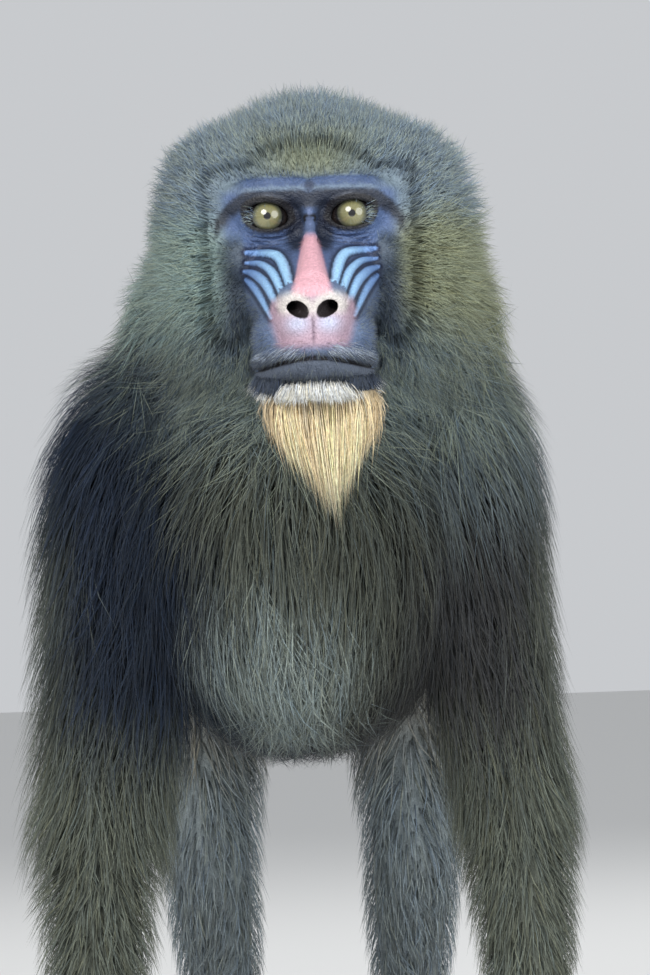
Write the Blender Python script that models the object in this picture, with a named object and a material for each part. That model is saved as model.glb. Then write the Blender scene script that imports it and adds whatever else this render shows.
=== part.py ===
"""A standing mandrill at life size, head up and facing -Y, in the pose of a museum model.

Metres, +Z up, floor at z = 0, origin on the floor under the middle of the animal's box.
The body is a smooth blend of named masses. The blend is meshed once, finer at the head,
and parted into nodes by thin plane cuts. The long coat is one smooth form out to its tips.
"""

import math

import bmesh
import bpy
import numpy as np
from mathutils import Matrix, Vector

# Driving sizes of the animal, in metres
GAP = 0.0003
BODY_STEP = 0.0045
HEAD_STEP = 0.0012
PAW_STEP = 0.0013
BODY_BLEND = 0.007
HAIR_BLEND = 0.004
FACE_BLEND = 0.0022
PAW_BLEND = 0.0012
GROUP_BLEND = 0.0015
CUT_BLEND = 0.0005

SHOULDER_Y = -0.128
SHOULDER_Z = 0.380
HIP_Y = 0.202
HIP_Z = 0.345
ARM_SPREAD = 0.078
HAND_SPREAD = 0.103
LEG_SPREAD = 0.049

EYE_LEVEL = np.array((0.011, SHOULDER_Y - 0.105, 0.495))
EYE_SPREAD = 0.0195
EYE_RADIUS = 0.0108
EYE_DEPTH = 0.0100

# Triangles allowed for the plain forms
HEAD_TRIANGLES = 3200
BODY_TRIANGLES = 2600
PAW_TRIANGLES = 480


# The scene and its collections

for old in list(bpy.data.objects):
    bpy.data.objects.remove(old)

PARTS = bpy.data.collections.new("mandrill")
GUIDES = bpy.data.collections.new("guides")
for holder in (PARTS, GUIDES):
    bpy.context.scene.collection.children.link(holder)
GUIDES.hide_render = True


def add_object(name, mesh, holder=GUIDES):
    made = bpy.data.objects.new(name, mesh)
    holder.objects.link(made)
    return made


def mesh_object(name, points, faces):
    mesh = bpy.data.meshes.new(name)
    mesh.from_pydata(points, [], faces)
    mesh.update()
    return add_object(name, mesh)


def apply_modifiers(thing):
    """Replaces the object's mesh with the result of its modifiers."""
    bpy.context.view_layer.update()
    graph = bpy.context.evaluated_depsgraph_get()
    mesh = bpy.data.meshes.new_from_object(thing.evaluated_get(graph))
    thing.modifiers.clear()
    thing.data = mesh


# Masses: rods through elliptical stations, and balls with three radii


def smooth_path(values, pieces):
    """Points on a smooth curve through the given rows, with a few pieces between two rows."""
    values = np.asarray(values, float)
    padded = np.vstack((2 * values[0] - values[1], values, 2 * values[-1] - values[-2]))
    share = np.linspace(0, 1, pieces, endpoint=False)[:, None]
    rows = []
    for a, b, c, d in zip(padded, padded[1:], padded[2:], padded[3:]):
        rows.append(
            0.5
            * (
                2 * b
                + (c - a) * share
                + (2 * a - 5 * b + 4 * c - d) * share**2
                + (3 * b - a - 3 * c + d) * share**3
            )
        )
    return np.vstack(rows + [values[-1:]])


class Rod:
    """A limb-like mass. Each station is x, y, z, half width and half height."""

    def __init__(self, stations, across=(1, 0, 0), pieces=3):
        path = smooth_path(stations, pieces)
        self.points = path[:, :3]
        self.radii = np.maximum(path[:, 3:5], 0.0004)
        self.across = np.array(across, float)
        reach = self.radii.max()
        self.low = self.points.min(axis=0) - reach
        self.high = self.points.max(axis=0) + reach

    def distance(self, at):
        """About how far each point is from the surface, negative inside."""
        best = np.full(len(at), 1e9)
        for a, b, ra, rb in zip(
            self.points, self.points[1:], self.radii, self.radii[1:]
        ):
            along = b - a
            length = np.linalg.norm(along)
            along = along / length
            across = self.across - along * self.across.dot(along)
            across = across / np.linalg.norm(across)
            up = np.cross(along, across)
            offset = at - a
            run = offset @ along
            share = np.clip(run / length, 0, 1)
            over = run - share * length
            wide = ra[0] + (rb[0] - ra[0]) * share
            high = ra[1] + (rb[1] - ra[1]) * share
            cap = np.minimum(wide, high)
            best = np.minimum(
                best, stretched(offset @ across, offset @ up, over, wide, high, cap)
            )
        return best


class Ball:
    """A ball stretched to three radii and tipped about X, nose down for a positive tilt."""

    def __init__(self, centre, radii, tilt=0.0):
        self.centre = np.array(centre, float)
        self.radii = np.array(radii, float)
        self.tilt = math.radians(tilt)
        self.low = self.centre - self.radii.max()
        self.high = self.centre + self.radii.max()

    def distance(self, at):
        offset = at - self.centre
        c, s = math.cos(self.tilt), math.sin(self.tilt)
        y = offset[:, 1] * c - offset[:, 2] * s
        z = offset[:, 1] * s + offset[:, 2] * c
        return stretched(offset[:, 0], y, z, *self.radii)


def stretched(x, y, z, a, b, c):
    """Distance to an ellipsoid of half axes a, b and c, to first order."""
    near = np.sqrt((x / a) ** 2 + (y / b) ** 2 + (z / c) ** 2)
    slope = np.sqrt((x / a**2) ** 2 + (y / b**2) ** 2 + (z / c**2) ** 2)
    return near * (near - 1) / np.maximum(slope, 1e-6)


def near_mass(at, mass, reach):
    return np.all((at > mass.low - reach) & (at < mass.high + reach), axis=1)


def softer_of(one, other, width, lowest=True):
    """The lower, or higher, of two distances, rounded where they cross."""
    edge = width * np.log1p(np.exp(-np.abs(one - other) / width))
    return np.minimum(one, other) - edge if lowest else np.maximum(one, other) + edge


def blended(at, groups, cuts=()):
    """Signed distance to a body. A group is its masses and how softly they melt together."""
    value = np.full(len(at), 1.0)
    for masses, blend in groups:
        total = np.full(len(at), 1e-30)
        for mass in masses:
            near = near_mass(at, mass, 9 * blend)
            if near.any():
                gap = np.clip(mass.distance(at[near]) / blend, -60, 60)
                total[near] += np.exp(-gap)
        value = softer_of(value, -blend * np.log(total), GROUP_BLEND)
    for cut in cuts:
        near = near_mass(at, cut, 6 * CUT_BLEND)
        if near.any():
            taken = -cut.distance(at[near])
            value[near] = softer_of(value[near], taken, CUT_BLEND, lowest=False)
    return value


def skin_mesh(name, groups, step, cuts=(), low=None, high=None):
    """A closed mesh of a body's surface, with one point in each grid cell it crosses."""
    masses = [mass for group in groups for mass in group[0]]
    if low is None:
        low = np.min([m.low for m in masses], axis=0) - 3 * step
        high = np.max([m.high for m in masses], axis=0) + 3 * step
    low, high = np.array(low, float), np.array(high, float)
    coarse = 6
    count = np.ceil((high - low) / (step * coarse)).astype(int)
    axes = [low[i] + step * coarse * (np.arange(count[i]) + 0.5) for i in range(3)]
    centres = np.stack(np.meshgrid(*axes, indexing="ij"), axis=-1).reshape(-1, 3)
    rough = blended(centres, groups, cuts)
    near = np.abs(rough) < step * coarse * 1.1 + 0.001
    values = np.where((rough < 0).reshape(count), -1.0, 1.0).astype(np.float32)
    for axis in range(3):
        values = np.repeat(values, coarse, axis=axis)
    cells = np.argwhere(near.reshape(count)) * coarse
    local = np.stack(
        np.meshgrid(*[np.arange(coarse)] * 3, indexing="ij"), axis=-1
    ).reshape(-1, 3)
    corner = low + step * 0.5
    for block in np.array_split(cells, max(1, len(cells) // 2000)):
        index = (block[:, None, :] + local[None]).reshape(-1, 3)
        values[tuple(index.T)] = blended(corner + step * index, groups, cuts)
    for axis in range(3):
        for end in (0, -1):
            wall = [slice(None)] * 3
            wall[axis] = end
            values[tuple(wall)] = step
    return net(name, fill_pinches(values, step), corner, step)


def window(values, offset, span):
    """The block of grid corners that lie at an offset from each cell's first corner."""
    return values[
        tuple(slice(o, n - w + o) for o, n, w in zip(offset, values.shape, span))
    ]


def fill_pinches(values, step):
    """Fills grid squares and cells that the surface only touches across a diagonal."""
    squares = ((1, 1, 0), (1, 0, 1), (0, 1, 1))
    for _ in range(12):
        found = 0
        inside = values < 0
        for span in squares:
            a, b = [i for i in range(3) if span[i]]
            along, other = [0, 0, 0], [0, 0, 0]
            along[a] = other[b] = 1
            spots = [(0, 0, 0), tuple(along), tuple(other), span]
            near, right, up, far = [window(inside, spot, span) for spot in spots]
            pinched = (near == far) & (right == up) & (near != right)
            found += pinched.sum()
            for spot in spots:
                part_of = window(values, spot, span)
                part_of[pinched] = np.minimum(part_of[pinched], -0.05 * step)
        inside = values < 0
        span = (1, 1, 1)
        corners = [(i, j, k) for i in (0, 1) for j in (0, 1) for k in (0, 1)]
        sides = [window(inside, spot, span) for spot in corners]
        total = sum(side.astype(np.int8) for side in sides)
        pinched = np.zeros_like(sides[0])
        for i in range(4):
            ends = sides[i], sides[7 - i]
            pinched |= (total == 2) & ends[0] & ends[1]
            pinched |= (total == 6) & ~ends[0] & ~ends[1]
        found += pinched.sum()
        for spot in corners:
            part_of = window(values, spot, span)
            part_of[pinched] = np.minimum(part_of[pinched], -0.05 * step)
        if not found:
            break
    return values


def net(name, values, corner, step):
    """Joins the cells that a surface crosses into a mesh of quads."""
    inside = values < 0
    shape = np.array(values.shape) - 1
    total = np.zeros(tuple(shape) + (3,), np.float32)
    count = np.zeros(tuple(shape), np.int16)
    ends = [slice(0, -1), slice(1, None)]
    for axis in range(3):
        others = [i for i in range(3) if i != axis]
        for i in (0, 1):
            for j in (0, 1):
                here, there = [None] * 3, [None] * 3
                here[axis], there[axis] = ends[0], ends[1]
                here[others[0]] = there[others[0]] = ends[i]
                here[others[1]] = there[others[1]] = ends[j]
                a, b = values[tuple(here)], values[tuple(there)]
                crossed = (a < 0) != (b < 0)
                share = a[crossed] / (a[crossed] - b[crossed])
                add = np.zeros((len(share), 3), np.float32)
                add[:, axis] = share
                add[:, others[0]] = i
                add[:, others[1]] = j
                total[crossed] += add
                count[crossed] += 1
    used = count > 0
    number = np.full(tuple(shape), -1, np.int64)
    number[used] = np.arange(used.sum())
    cell = np.argwhere(used)
    points = corner + step * (cell + total[used] / count[used][:, None])
    quads = []
    for axis in range(3):
        u, v = (axis + 1) % 3, (axis + 2) % 3
        lead, follow = [slice(None)] * 3, [slice(None)] * 3
        lead[axis], follow[axis] = slice(0, -1), slice(1, None)
        flips = inside[tuple(lead)] != inside[tuple(follow)]
        spots = np.argwhere(flips)
        spots = spots[(spots[:, u] > 0) & (spots[:, v] > 0)]
        spots = spots[(spots[:, u] < shape[u]) & (spots[:, v] < shape[v])]
        step_u, step_v = np.eye(3, dtype=int)[u], np.eye(3, dtype=int)[v]
        ring = [spots - step_u - step_v, spots - step_v, spots, spots - step_u]
        face = np.stack([number[tuple(r.T)] for r in ring], axis=1)
        outward = inside[tuple(spots.T)]
        face[~outward] = face[~outward][:, ::-1]
        quads.append(face)
    return mesh_object(name, points, np.vstack(quads))


def settle(thing, smoothing, triangles, share=1.0):
    """Smooths a meshed blend and thins its faces out where it is nearly flat."""
    if smoothing:
        smooth = thing.modifiers.new("soften", "SMOOTH")
        smooth.factor = 0.5
        smooth.iterations = smoothing
    count = sum(len(p.vertices) - 2 for p in thing.data.polygons)
    fewer = thing.modifiers.new("fewer faces", "DECIMATE")
    fewer.ratio = min(1.0, triangles / count)
    apply_modifiers(thing)
    keep_largest(thing)
    return thing


# Cuts and joins


def boolean(thing, operation, others, tidy=True):
    """Cuts away or joins all the other objects at once, and removes them."""
    holder = bpy.data.collections.new("operands")
    bpy.context.scene.collection.children.link(holder)
    holder.hide_render = True
    for other in others:
        for owner in list(other.users_collection):
            owner.objects.unlink(other)
        holder.objects.link(other)
    step = thing.modifiers.new(operation.lower(), "BOOLEAN")
    step.operation = operation
    step.operand_type = "COLLECTION"
    step.collection = holder
    step.solver = "MANIFOLD"
    apply_modifiers(thing)
    for other in list(holder.objects):
        bpy.data.objects.remove(other)
    bpy.data.collections.remove(holder)
    if tidy:
        keep_largest(thing)


def keep_largest(thing):
    """Keeps the biggest closed surface of the mesh and drops scraps and sealed hollows."""
    bm = bmesh.new()
    bm.from_mesh(thing.data)
    left = set(bm.verts)
    islands = []
    while left:
        start = left.pop()
        island, front = [start], [start]
        while front:
            vert = front.pop()
            for edge in vert.link_edges:
                other = edge.other_vert(vert)
                if other in left:
                    left.remove(other)
                    island.append(other)
                    front.append(other)
        islands.append(island)
    islands.sort(key=len)
    scraps = [vert for island in islands[:-1] for vert in island]
    if scraps:
        bmesh.ops.delete(bm, geom=scraps, context="VERTS")
    bm.to_mesh(thing.data)
    bm.free()


BLOCK = 2.0


def half_space(point, normal):
    """A big block that fills the side of a plane that its normal points to."""
    bm = bmesh.new()
    turn = Vector(normal).to_track_quat("Z", "Y").to_matrix().to_4x4()
    place = Matrix.Translation(point) @ turn @ Matrix.Translation((0, 0, BLOCK / 2))
    bmesh.ops.create_cube(bm, size=BLOCK, matrix=place)
    mesh = bpy.data.meshes.new("half space")
    bm.to_mesh(mesh)
    bm.free()
    return add_object("half space", mesh)


def clip(thing, point, normal, tidy=True):
    """Removes what lies ahead of a plane."""
    boolean(thing, "DIFFERENCE", [half_space(Vector(point), Vector(normal))], tidy)


def part(whole, point, normal, tidy=True):
    """Parts a body with a thin cut: what lies ahead of the plane becomes a new object."""
    normal = Vector(normal).normalized()
    point = Vector(point)
    ahead = add_object("ahead", whole.data.copy())
    clip(whole, point - normal * GAP / 2, normal)
    clip(ahead, point + normal * GAP / 2, -normal, tidy)
    return ahead


def finish(thing, name, colour, roughness=0.85):
    """Names the object, gives it its material and moves it to the animal's collection."""
    thing.name = name
    thing.data.name = name
    for owner in list(thing.users_collection):
        owner.objects.unlink(thing)
    PARTS.objects.link(thing)
    material = bpy.data.materials.new(name)
    material.use_nodes = True
    shader = material.node_tree.nodes["Principled BSDF"]
    shader.inputs["Base Color"].default_value = (*colour, 1.0)
    shader.inputs["Roughness"].default_value = roughness
    thing.data.materials.clear()
    thing.data.materials.append(material)


# Colours of the coat and skin
OLIVE = (0.16, 0.15, 0.08)
SLATE = (0.05, 0.06, 0.09)
GREY = (0.14, 0.14, 0.13)
SKIN_DARK = (0.05, 0.05, 0.06)
AMBER = (0.42, 0.34, 0.14)

# The trunk and limbs


def trunk_masses(share):
    """Rows along the spine: y, top, bottom, half width and depth of the coat."""
    rows = (
        (-0.172, 0.400, 0.318, 0.042, 0.022),
        (-0.150, 0.420, 0.284, 0.058, 0.024),
        (-0.115, 0.430, 0.264, 0.068, 0.022),
        (-0.060, 0.426, 0.254, 0.072, 0.018),
        (0.000, 0.418, 0.255, 0.073, 0.015),
        (0.060, 0.412, 0.262, 0.071, 0.014),
        (0.120, 0.408, 0.272, 0.068, 0.013),
        (0.180, 0.402, 0.288, 0.064, 0.012),
        (0.222, 0.388, 0.304, 0.054, 0.012),
        (0.246, 0.368, 0.324, 0.036, 0.010),
    )
    stations = []
    for y, top, bottom, half_width, coat in rows:
        deep = coat * share
        half_height = (top - bottom) / 2
        stations.append(
            (0, y, (top + bottom) / 2, half_width + deep, half_height + deep)
        )
    masses = [Rod(stations, pieces=2)]
    deep = 0.018 * share
    thin = 0.012 * share
    for side in (-1, 1):
        masses.append(
            Ball(
                (side * 0.062, SHOULDER_Y + 0.006, SHOULDER_Z - 0.012),
                (0.034 + deep, 0.046 + deep, 0.056 + deep),
            )
        )
        masses.append(
            Ball(
                (side * 0.042, HIP_Y - 0.004, HIP_Z),
                (0.036 + thin, 0.056 + thin, 0.054 + thin),
            )
        )
    return masses


def neck_masses(share):
    deep = 0.026 * share
    return [
        Rod(
            (
                (0.000, -0.095, 0.370, 0.060 + deep, 0.054 + deep * 0.6),
                (0.002, -0.125, 0.400, 0.056 + deep, 0.056 + deep * 0.6),
                (0.007, -0.152, 0.438, 0.048 + deep, 0.052 + deep * 0.6),
                (0.011, -0.172, 0.474, 0.042 + deep, 0.046 + deep * 0.5),
            )
        )
    ]


def limb(side, share, rows):
    """A limb's rod. A row is x, y, z, half width, half depth and depth of the coat."""
    return Rod(
        [(side * x, y, z, w + c * share, d + c * share) for x, y, z, w, d, c in rows]
    )


def arm_masses(side, share):
    y = SHOULDER_Y
    return [
        limb(
            side,
            share,
            (
                (0.074, y, 0.396, 0.022, 0.030, 0.014),
                (ARM_SPREAD, y + 0.002, 0.366, 0.025, 0.034, 0.016),
                (0.085, y + 0.010, 0.300, 0.022, 0.029, 0.017),
                (0.095, y + 0.028, 0.238, 0.019, 0.024, 0.015),
                (0.100, y + 0.028, 0.205, 0.020, 0.024, 0.013),
                (0.103, y + 0.018, 0.140, 0.017, 0.019, 0.009),
                (HAND_SPREAD, y + 0.008, 0.092, 0.013, 0.0135, 0.005),
                (HAND_SPREAD, y + 0.003, 0.060, 0.0135, 0.0120, 0.0025),
                (HAND_SPREAD, y, 0.040, 0.0135, 0.0110, 0.001),
            ),
        )
    ]


def leg_masses(side, share):
    y = HIP_Y
    return [
        limb(
            side,
            share,
            (
                (0.046, y + 0.004, 0.360, 0.030, 0.050, 0.012),
                (0.051, y - 0.006, 0.318, 0.032, 0.056, 0.012),
                (0.055, y - 0.034, 0.255, 0.028, 0.044, 0.012),
                (0.054, y - 0.058, 0.202, 0.022, 0.029, 0.010),
                (0.052, y - 0.050, 0.170, 0.020, 0.026, 0.008),
                (0.050, y - 0.012, 0.120, 0.0165, 0.0215, 0.007),
                (LEG_SPREAD, y + 0.028, 0.078, 0.0120, 0.0145, 0.004),
                (LEG_SPREAD, y + 0.046, 0.052, 0.0135, 0.0140, 0.002),
                (LEG_SPREAD, y + 0.040, 0.034, 0.0135, 0.0130, 0.001),
            ),
        )
    ]


def tail_masses(share):
    c = 0.006 * share
    return [
        Rod(
            (
                (0, 0.226, 0.366, 0.014 + c, 0.014 + c),
                (0, 0.256, 0.390, 0.012 + c, 0.012 + c),
                (0, 0.279, 0.416, 0.009 + c, 0.009 + c),
                (0, 0.291, 0.440, 0.005 + c, 0.005 + c),
            )
        )
    ]


# Hands and feet: a palm or sole, four digits that lie forward, and a thumb or great toe

DIGIT_PLACES = (-0.39, -0.135, 0.13, 0.385)
DIGIT_REACHES = (0.84, 0.97, 1.0, 0.90)


def digit(start, end, knuckle, thick):
    """A digit with a raised knuckle that comes down to its tip on the floor."""
    start, end = np.array(start), np.array(end)
    rows = []
    for share, lift, wide, high in (
        (0.00, 0.0, 1.05, 1.10),
        (0.28, 1.0, 1.00, 1.00),
        (0.58, 0.6, 0.92, 0.88),
        (0.82, 0.0, 0.92, 0.80),
        (1.00, 0.0, 0.70, 0.62),
    ):
        point = start + (end - start) * share
        rows.append(
            (point[0], point[1], point[2] + knuckle * lift, thick * wide, thick * high)
        )
    return Rod(rows)


def hand_masses(side):
    x, y = side * HAND_SPREAD, SHOULDER_Y
    masses = [
        Rod(
            (
                (x, y, 0.066, 0.0140, 0.0120),
                (x, y - 0.002, 0.050, 0.0155, 0.0120),
                (x, y - 0.010, 0.032, 0.0190, 0.0105),
                (x, y - 0.024, 0.019, 0.0205, 0.0095),
                (x, y - 0.036, 0.013, 0.0205, 0.0085),
            )
        )
    ]
    for place, reach in zip(DIGIT_PLACES, DIGIT_REACHES):
        sign = place * side
        start = (x + side * place * 0.040, y - 0.034, 0.0105)
        end = (x + side * place * 0.062, y - 0.034 - 0.044 * reach, 0.0050)
        masses.append(digit(start, end, 0.0030, 0.0064 - 0.0006 * (sign > 9)))
    start = (x - side * 0.011, y - 0.010, 0.020)
    end = (x - side * 0.030, y - 0.033, 0.0050)
    masses.append(digit(start, end, 0.0015, 0.0066))
    return masses


def foot_masses(side):
    x, y = side * LEG_SPREAD, HIP_Y
    masses = [
        Rod(
            (
                (x, y + 0.044, 0.060, 0.0140, 0.0150),
                (x, y + 0.042, 0.040, 0.0150, 0.0160),
                (x, y + 0.022, 0.025, 0.0160, 0.0165),
                (x, y - 0.010, 0.020, 0.0190, 0.0135),
                (x, y - 0.038, 0.014, 0.0205, 0.0105),
            )
        ),
        Ball((x, y + 0.050, 0.020), (0.0140, 0.0165, 0.0190)),
    ]
    for place, reach in zip(DIGIT_PLACES, DIGIT_REACHES):
        start = (x + side * place * 0.040, y - 0.038, 0.0115)
        end = (x + side * place * 0.062, y - 0.038 - 0.048 * reach, 0.0050)
        masses.append(digit(start, end, 0.0030, 0.0068))
    start = (x - side * 0.011, y - 0.004, 0.016)
    end = (x - side * 0.030, y - 0.046, 0.0055)
    masses.append(digit(start, end, 0.0020, 0.0078))
    return masses


# The head, in millimetres across, back and up from the midpoint between the eyes


def head_rod(rows, side=1, across=(1, 0, 0), pieces=3, grow=0.0):
    stations = []
    for x, y, z, wide, high in rows:
        point = EYE_LEVEL + np.array((side * x, y, z)) * 0.001
        stations.append((*point, (wide + grow) * 0.001, (high + grow) * 0.001))
    return Rod(stations, across, pieces)


def head_ball(x, y, z, radii, tilt=0.0):
    point = EYE_LEVEL + np.array((x, y, z)) * 0.001
    return Ball(point, np.array(radii) * 0.001, tilt)


# The muzzle's sections: back, up, half width and half height
MUZZLE = (
    (34, -36, 33, 32),
    (12, -36, 31, 27),
    (-10, -39, 27.5, 22.5),
    (-32, -44, 23.5, 19),
    (-52, -49, 18.5, 16),
    (-64, -51, 14, 12.5),
)


def skull_masses():
    """Braincase, brow, cheekbones, muzzle, nose and jaw."""
    masses = [
        head_ball(0, 58, 4, (44, 52, 40)),
        head_ball(0, 30, 4, (37, 26, 26)),
        head_rod(
            (
                (-42, 20, 2, 4, 6),
                (-35, 9, 8, 5, 6),
                (-19, 1, 12.5, 4.5, 6.5),
                (0, -1, 11, 4.0, 5.5),
                (19, 1, 12.5, 4.5, 6.5),
                (35, 9, 8, 5, 6),
                (42, 20, 2, 4, 6),
            ),
            across=(0, 1, 0),
            pieces=2,
        ),
        head_rod([(0, y, z, w, h) for y, z, w, h in MUZZLE]),
        head_rod(
            (
                (0, 30, -62, 33, 18),
                (0, 0, -68, 27, 14),
                (0, -30, -70, 23, 12),
                (0, -54, -70, 17, 10.5),
                (0, -64, -69, 11, 8),
            ),
        ),
        head_rod(
            (
                (0, 2, 4, 3.0, 4),
                (0, -8, -6, 2.4, 4),
                (0, -24, -15, 3.2, 5),
                (0, -46, -25, 5.0, 6),
                (0, -64, -33, 6.5, 6),
            ),
        ),
        head_ball(0, -72, -40, (6.0, 7.0, 7.0)),
        head_ball(0, -66, -50, (15, 11, 10)),
    ]
    for side in (-1, 1):
        masses.append(head_ball(side * 33, 22, -18, (11, 22, 12)))
        masses.append(head_ball(side * 8.5, -68, -40, (7.5, 8.5, 6.5)))
        masses.append(lid_ball(side))
        masses.append(
            head_rod(
                (
                    (17, 10, -27, 12, 12),
                    (14, -10, -31, 13, 12),
                    (12, -32, -37, 11, 11),
                    (8.5, -54, -43, 8.5, 8.5),
                ),
                side,
            )
        )
    return masses


def lid_ball(side):
    return head_ball(side * EYE_SPREAD * 1000, EYE_DEPTH * 1000, 0, (12.6, 12.6, 12.6))


def on_muzzle(skull, back, degrees):
    """Where a line from the muzzle's middle leaves it: 0 degrees is level, 90 is up."""
    rows = np.array(MUZZLE[::-1], float)
    up = np.interp(back, rows[:, 0], rows[:, 1])
    turn = math.radians(degrees)
    reach = np.arange(5.0, 45.0, 0.25)[:, None]
    line = np.array((0, back, up)) + reach * (math.cos(turn), 0, math.sin(turn))
    inside = blended(EYE_LEVEL + line * 0.001, [(skull, FACE_BLEND)]) < 0
    return line[np.flatnonzero(inside).max()]


def ridge_masses(skull, side):
    """The swollen ridges that run forward from under the eye to beside the nostril."""
    ridges = []
    backs = (0, -12, -27, -42, -54)
    sizes = (1.2, 2.2, 2.7, 2.4, 1.2)
    for first, middle, last in ((52, 64, 60), (38, 50, 45), (24, 36, 30), (10, 21, 15)):
        turns = np.interp(range(5), (0, 2, 4), (first, middle, last))
        ridges.append(
            head_rod(
                [
                    (*on_muzzle(skull, back, turn), size, size)
                    for back, turn, size in zip(backs, turns, sizes)
                ],
                side,
                pieces=2,
            )
        )
    return ridges


def lip_masses():
    """The two lips, which arch up at the middle and end in the corners of the mouth."""
    masses = []
    for side in (-1, 1):
        masses.append(
            head_rod(
                (
                    (0, -74, -57.5, 4, 3.2),
                    (8, -71.5, -58.5, 4, 3.2),
                    (16, -63, -61, 3.6, 3.2),
                    (22, -46, -65.5, 3.0, 3.0),
                    (25.5, -28, -68.5, 2.0, 2.4),
                ),
                side,
                across=(0, 1, 0),
            )
        )
        masses.append(
            head_rod(
                (
                    (0, -69, -65.5, 3.6, 3.0),
                    (8, -66.5, -66.5, 3.6, 3.0),
                    (15, -58.5, -68.5, 3.2, 2.8),
                    (20.5, -44, -71.5, 2.8, 2.6),
                    (24.5, -28, -72.0, 1.8, 2.2),
                ),
                side,
                across=(0, 1, 0),
            )
        )
    return masses


def face_cuts():
    """Nostrils, the line of the mouth, the groove of the upper lip and the lid openings."""
    cuts = []
    for side in (-1, 1):
        cuts.append(
            head_rod(
                (
                    (4.2, -79, -43.5, 1.2, 1.6),
                    (6.6, -76, -42.6, 2.5, 2.9),
                    (9.0, -70, -41.0, 2.7, 2.8),
                    (9.5, -62, -40.0, 2.0, 2.0),
                ),
                side,
            )
        )
        cuts.append(
            head_rod(
                (
                    (0, -79, -61.5, 3.0, 0.75),
                    (8, -76, -62.5, 3.0, 0.75),
                    (16, -66.5, -64.8, 3.0, 0.75),
                    (22.5, -49, -68.6, 3.0, 0.75),
                    (27.5, -26, -70.6, 3.0, 0.70),
                ),
                side,
                across=(0, 1, 0),
            )
        )
        cuts.append(lid_opening(side))
    cuts.append(
        head_rod(((0, -80, -46, 0.8, 1.2), (0, -79.5, -52, 0.9, 1.6), (0, -78, -58, 0.8, 1.6)))
    )
    return cuts


def lid_opening(side):
    """An almond between the lids, a little higher at its outer end."""
    x = EYE_SPREAD * 1000
    return head_rod(
        (
            (x - 9.6, 2.5, -1.4, 0.8, 6),
            (x - 6.0, 0.0, -0.3, 3.9, 7),
            (x - 0.5, -1.5, 0.5, 6.0, 8),
            (x + 5.0, 0.0, 0.8, 4.8, 7),
            (x + 9.2, 3.0, 1.0, 1.0, 6),
        ),
        side,
        across=(0, 0, 1),
    )


def hair_masses(share):
    """The dense under-coat of the crown and the cheeks, round the bare face."""
    masses = [head_ball(0, 60, 8, (42 + 12 * share, 50 + 8 * share, 36 + 11 * share))]
    masses.append(head_ball(0, 26, 15, (36 + 6 * share, 22 + 3 * share, 20 + 8 * share)))
    for side in (-1, 1):
        masses.append(
            head_ball(
                side * 42, 40, 0, (14 + 16 * share, 24 + 8 * share, 34 + 9 * share)
            )
        )
        masses.append(
            head_ball(
                side * 38, 38, -38, (12 + 20 * share, 22 + 10 * share, 30 + 12 * share)
            )
        )
    return masses


def beard_masses(share):
    """The pointed beard that hangs from the chin, and the white edge of the lower lip."""
    return [
        head_rod(
            (
                (0, -48, -76, 17, 8),
                (0, -53, -90, 15 * share, 8 * share),
                (2, -54, -110, 11 * share, 7 * share),
                (5, -53, -130, 6 * share, 5 * share),
                (9, -52, -145, 1.5, 1.5),
            ),
        )
    ]


def face_masses():
    skull = skull_masses()
    masses = skull + lip_masses()
    for side in (-1, 1):
        masses += ridge_masses(skull, side)
    return masses


def ear_masses(side):
    """A thin round ear that leans back, with a rolled rim about its cup."""
    rim = []
    for degrees in range(-150, 151, 30):
        turn = math.radians(degrees)
        out = 15.0 * math.cos(turn)
        up = 20.0 * math.sin(turn)
        rim.append((56 + out * 0.85, 74 + out * 0.5, 8 + up, 2.0, 2.0))
    plate = head_ball(side * 57, 77, 8, (13, 3.6, 18))
    root = head_rod(((36, 64, 4, 8, 12), (52, 74, 7, 8, 12)), side, across=(0, 1, 0))
    return [head_rod(rim, side, across=(0, 1, 0), pieces=1), plate, root]


HEAD_CUT = ((0.0, -0.158, 0.436), (0.0, -0.62, 0.785))


def eye(side):
    bm = bmesh.new()
    place = EYE_LEVEL + np.array((side * EYE_SPREAD, EYE_DEPTH, 0.0))
    turn = Matrix.Rotation(math.radians(90), 4, "X")
    bmesh.ops.create_uvsphere(
        bm,
        u_segments=16,
        v_segments=10,
        radius=EYE_RADIUS - GAP,
        matrix=Matrix.Translation(place) @ turn,
    )
    mesh = bpy.data.meshes.new("eye")
    bm.to_mesh(mesh)
    bm.free()
    return add_object("eye", mesh)


def socket(side):
    bm = bmesh.new()
    place = EYE_LEVEL + np.array((side * EYE_SPREAD, EYE_DEPTH, 0.0))
    bmesh.ops.create_icosphere(
        bm, subdivisions=3, radius=EYE_RADIUS + GAP, matrix=Matrix.Translation(place)
    )
    mesh = bpy.data.meshes.new("socket")
    bm.to_mesh(mesh)
    bm.free()
    return add_object("socket", mesh)


# Where the body is parted: each plane's point, and the normal that looks at the new node
CHEST_END = ((0, -0.058, 0.34), (0, 1, -0.05))
BELLY_END = ((0, 0.112, 0.34), (0, 1, 0.12))
ARM_TOP = ((0, 0, 0.228), (0, 0, -1))
THIGH_TOP = ((0, 0.130, 0.249), (0, 0.424, -0.905))
KNEE = ((0, HIP_Y - 0.050, 0.184), (0, 0.55, -1))
WRIST = 0.060
ANKLE = 0.058
TAIL_ROOT = ((0, 0.252, 0.388), (0, 0.68, 0.73))
FLOOR = ((0, 0, 0.0013), (0, 0, -1))
WORDS = {-1: "right", 1: "left"}


def grown(thing, by):
    """A copy whose surface stands out by a small distance."""
    copy = add_object("grown", thing.data.copy())
    push = copy.modifiers.new("grow", "DISPLACE")
    push.mid_level = 0
    push.strength = by
    apply_modifiers(copy)
    return copy


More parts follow.
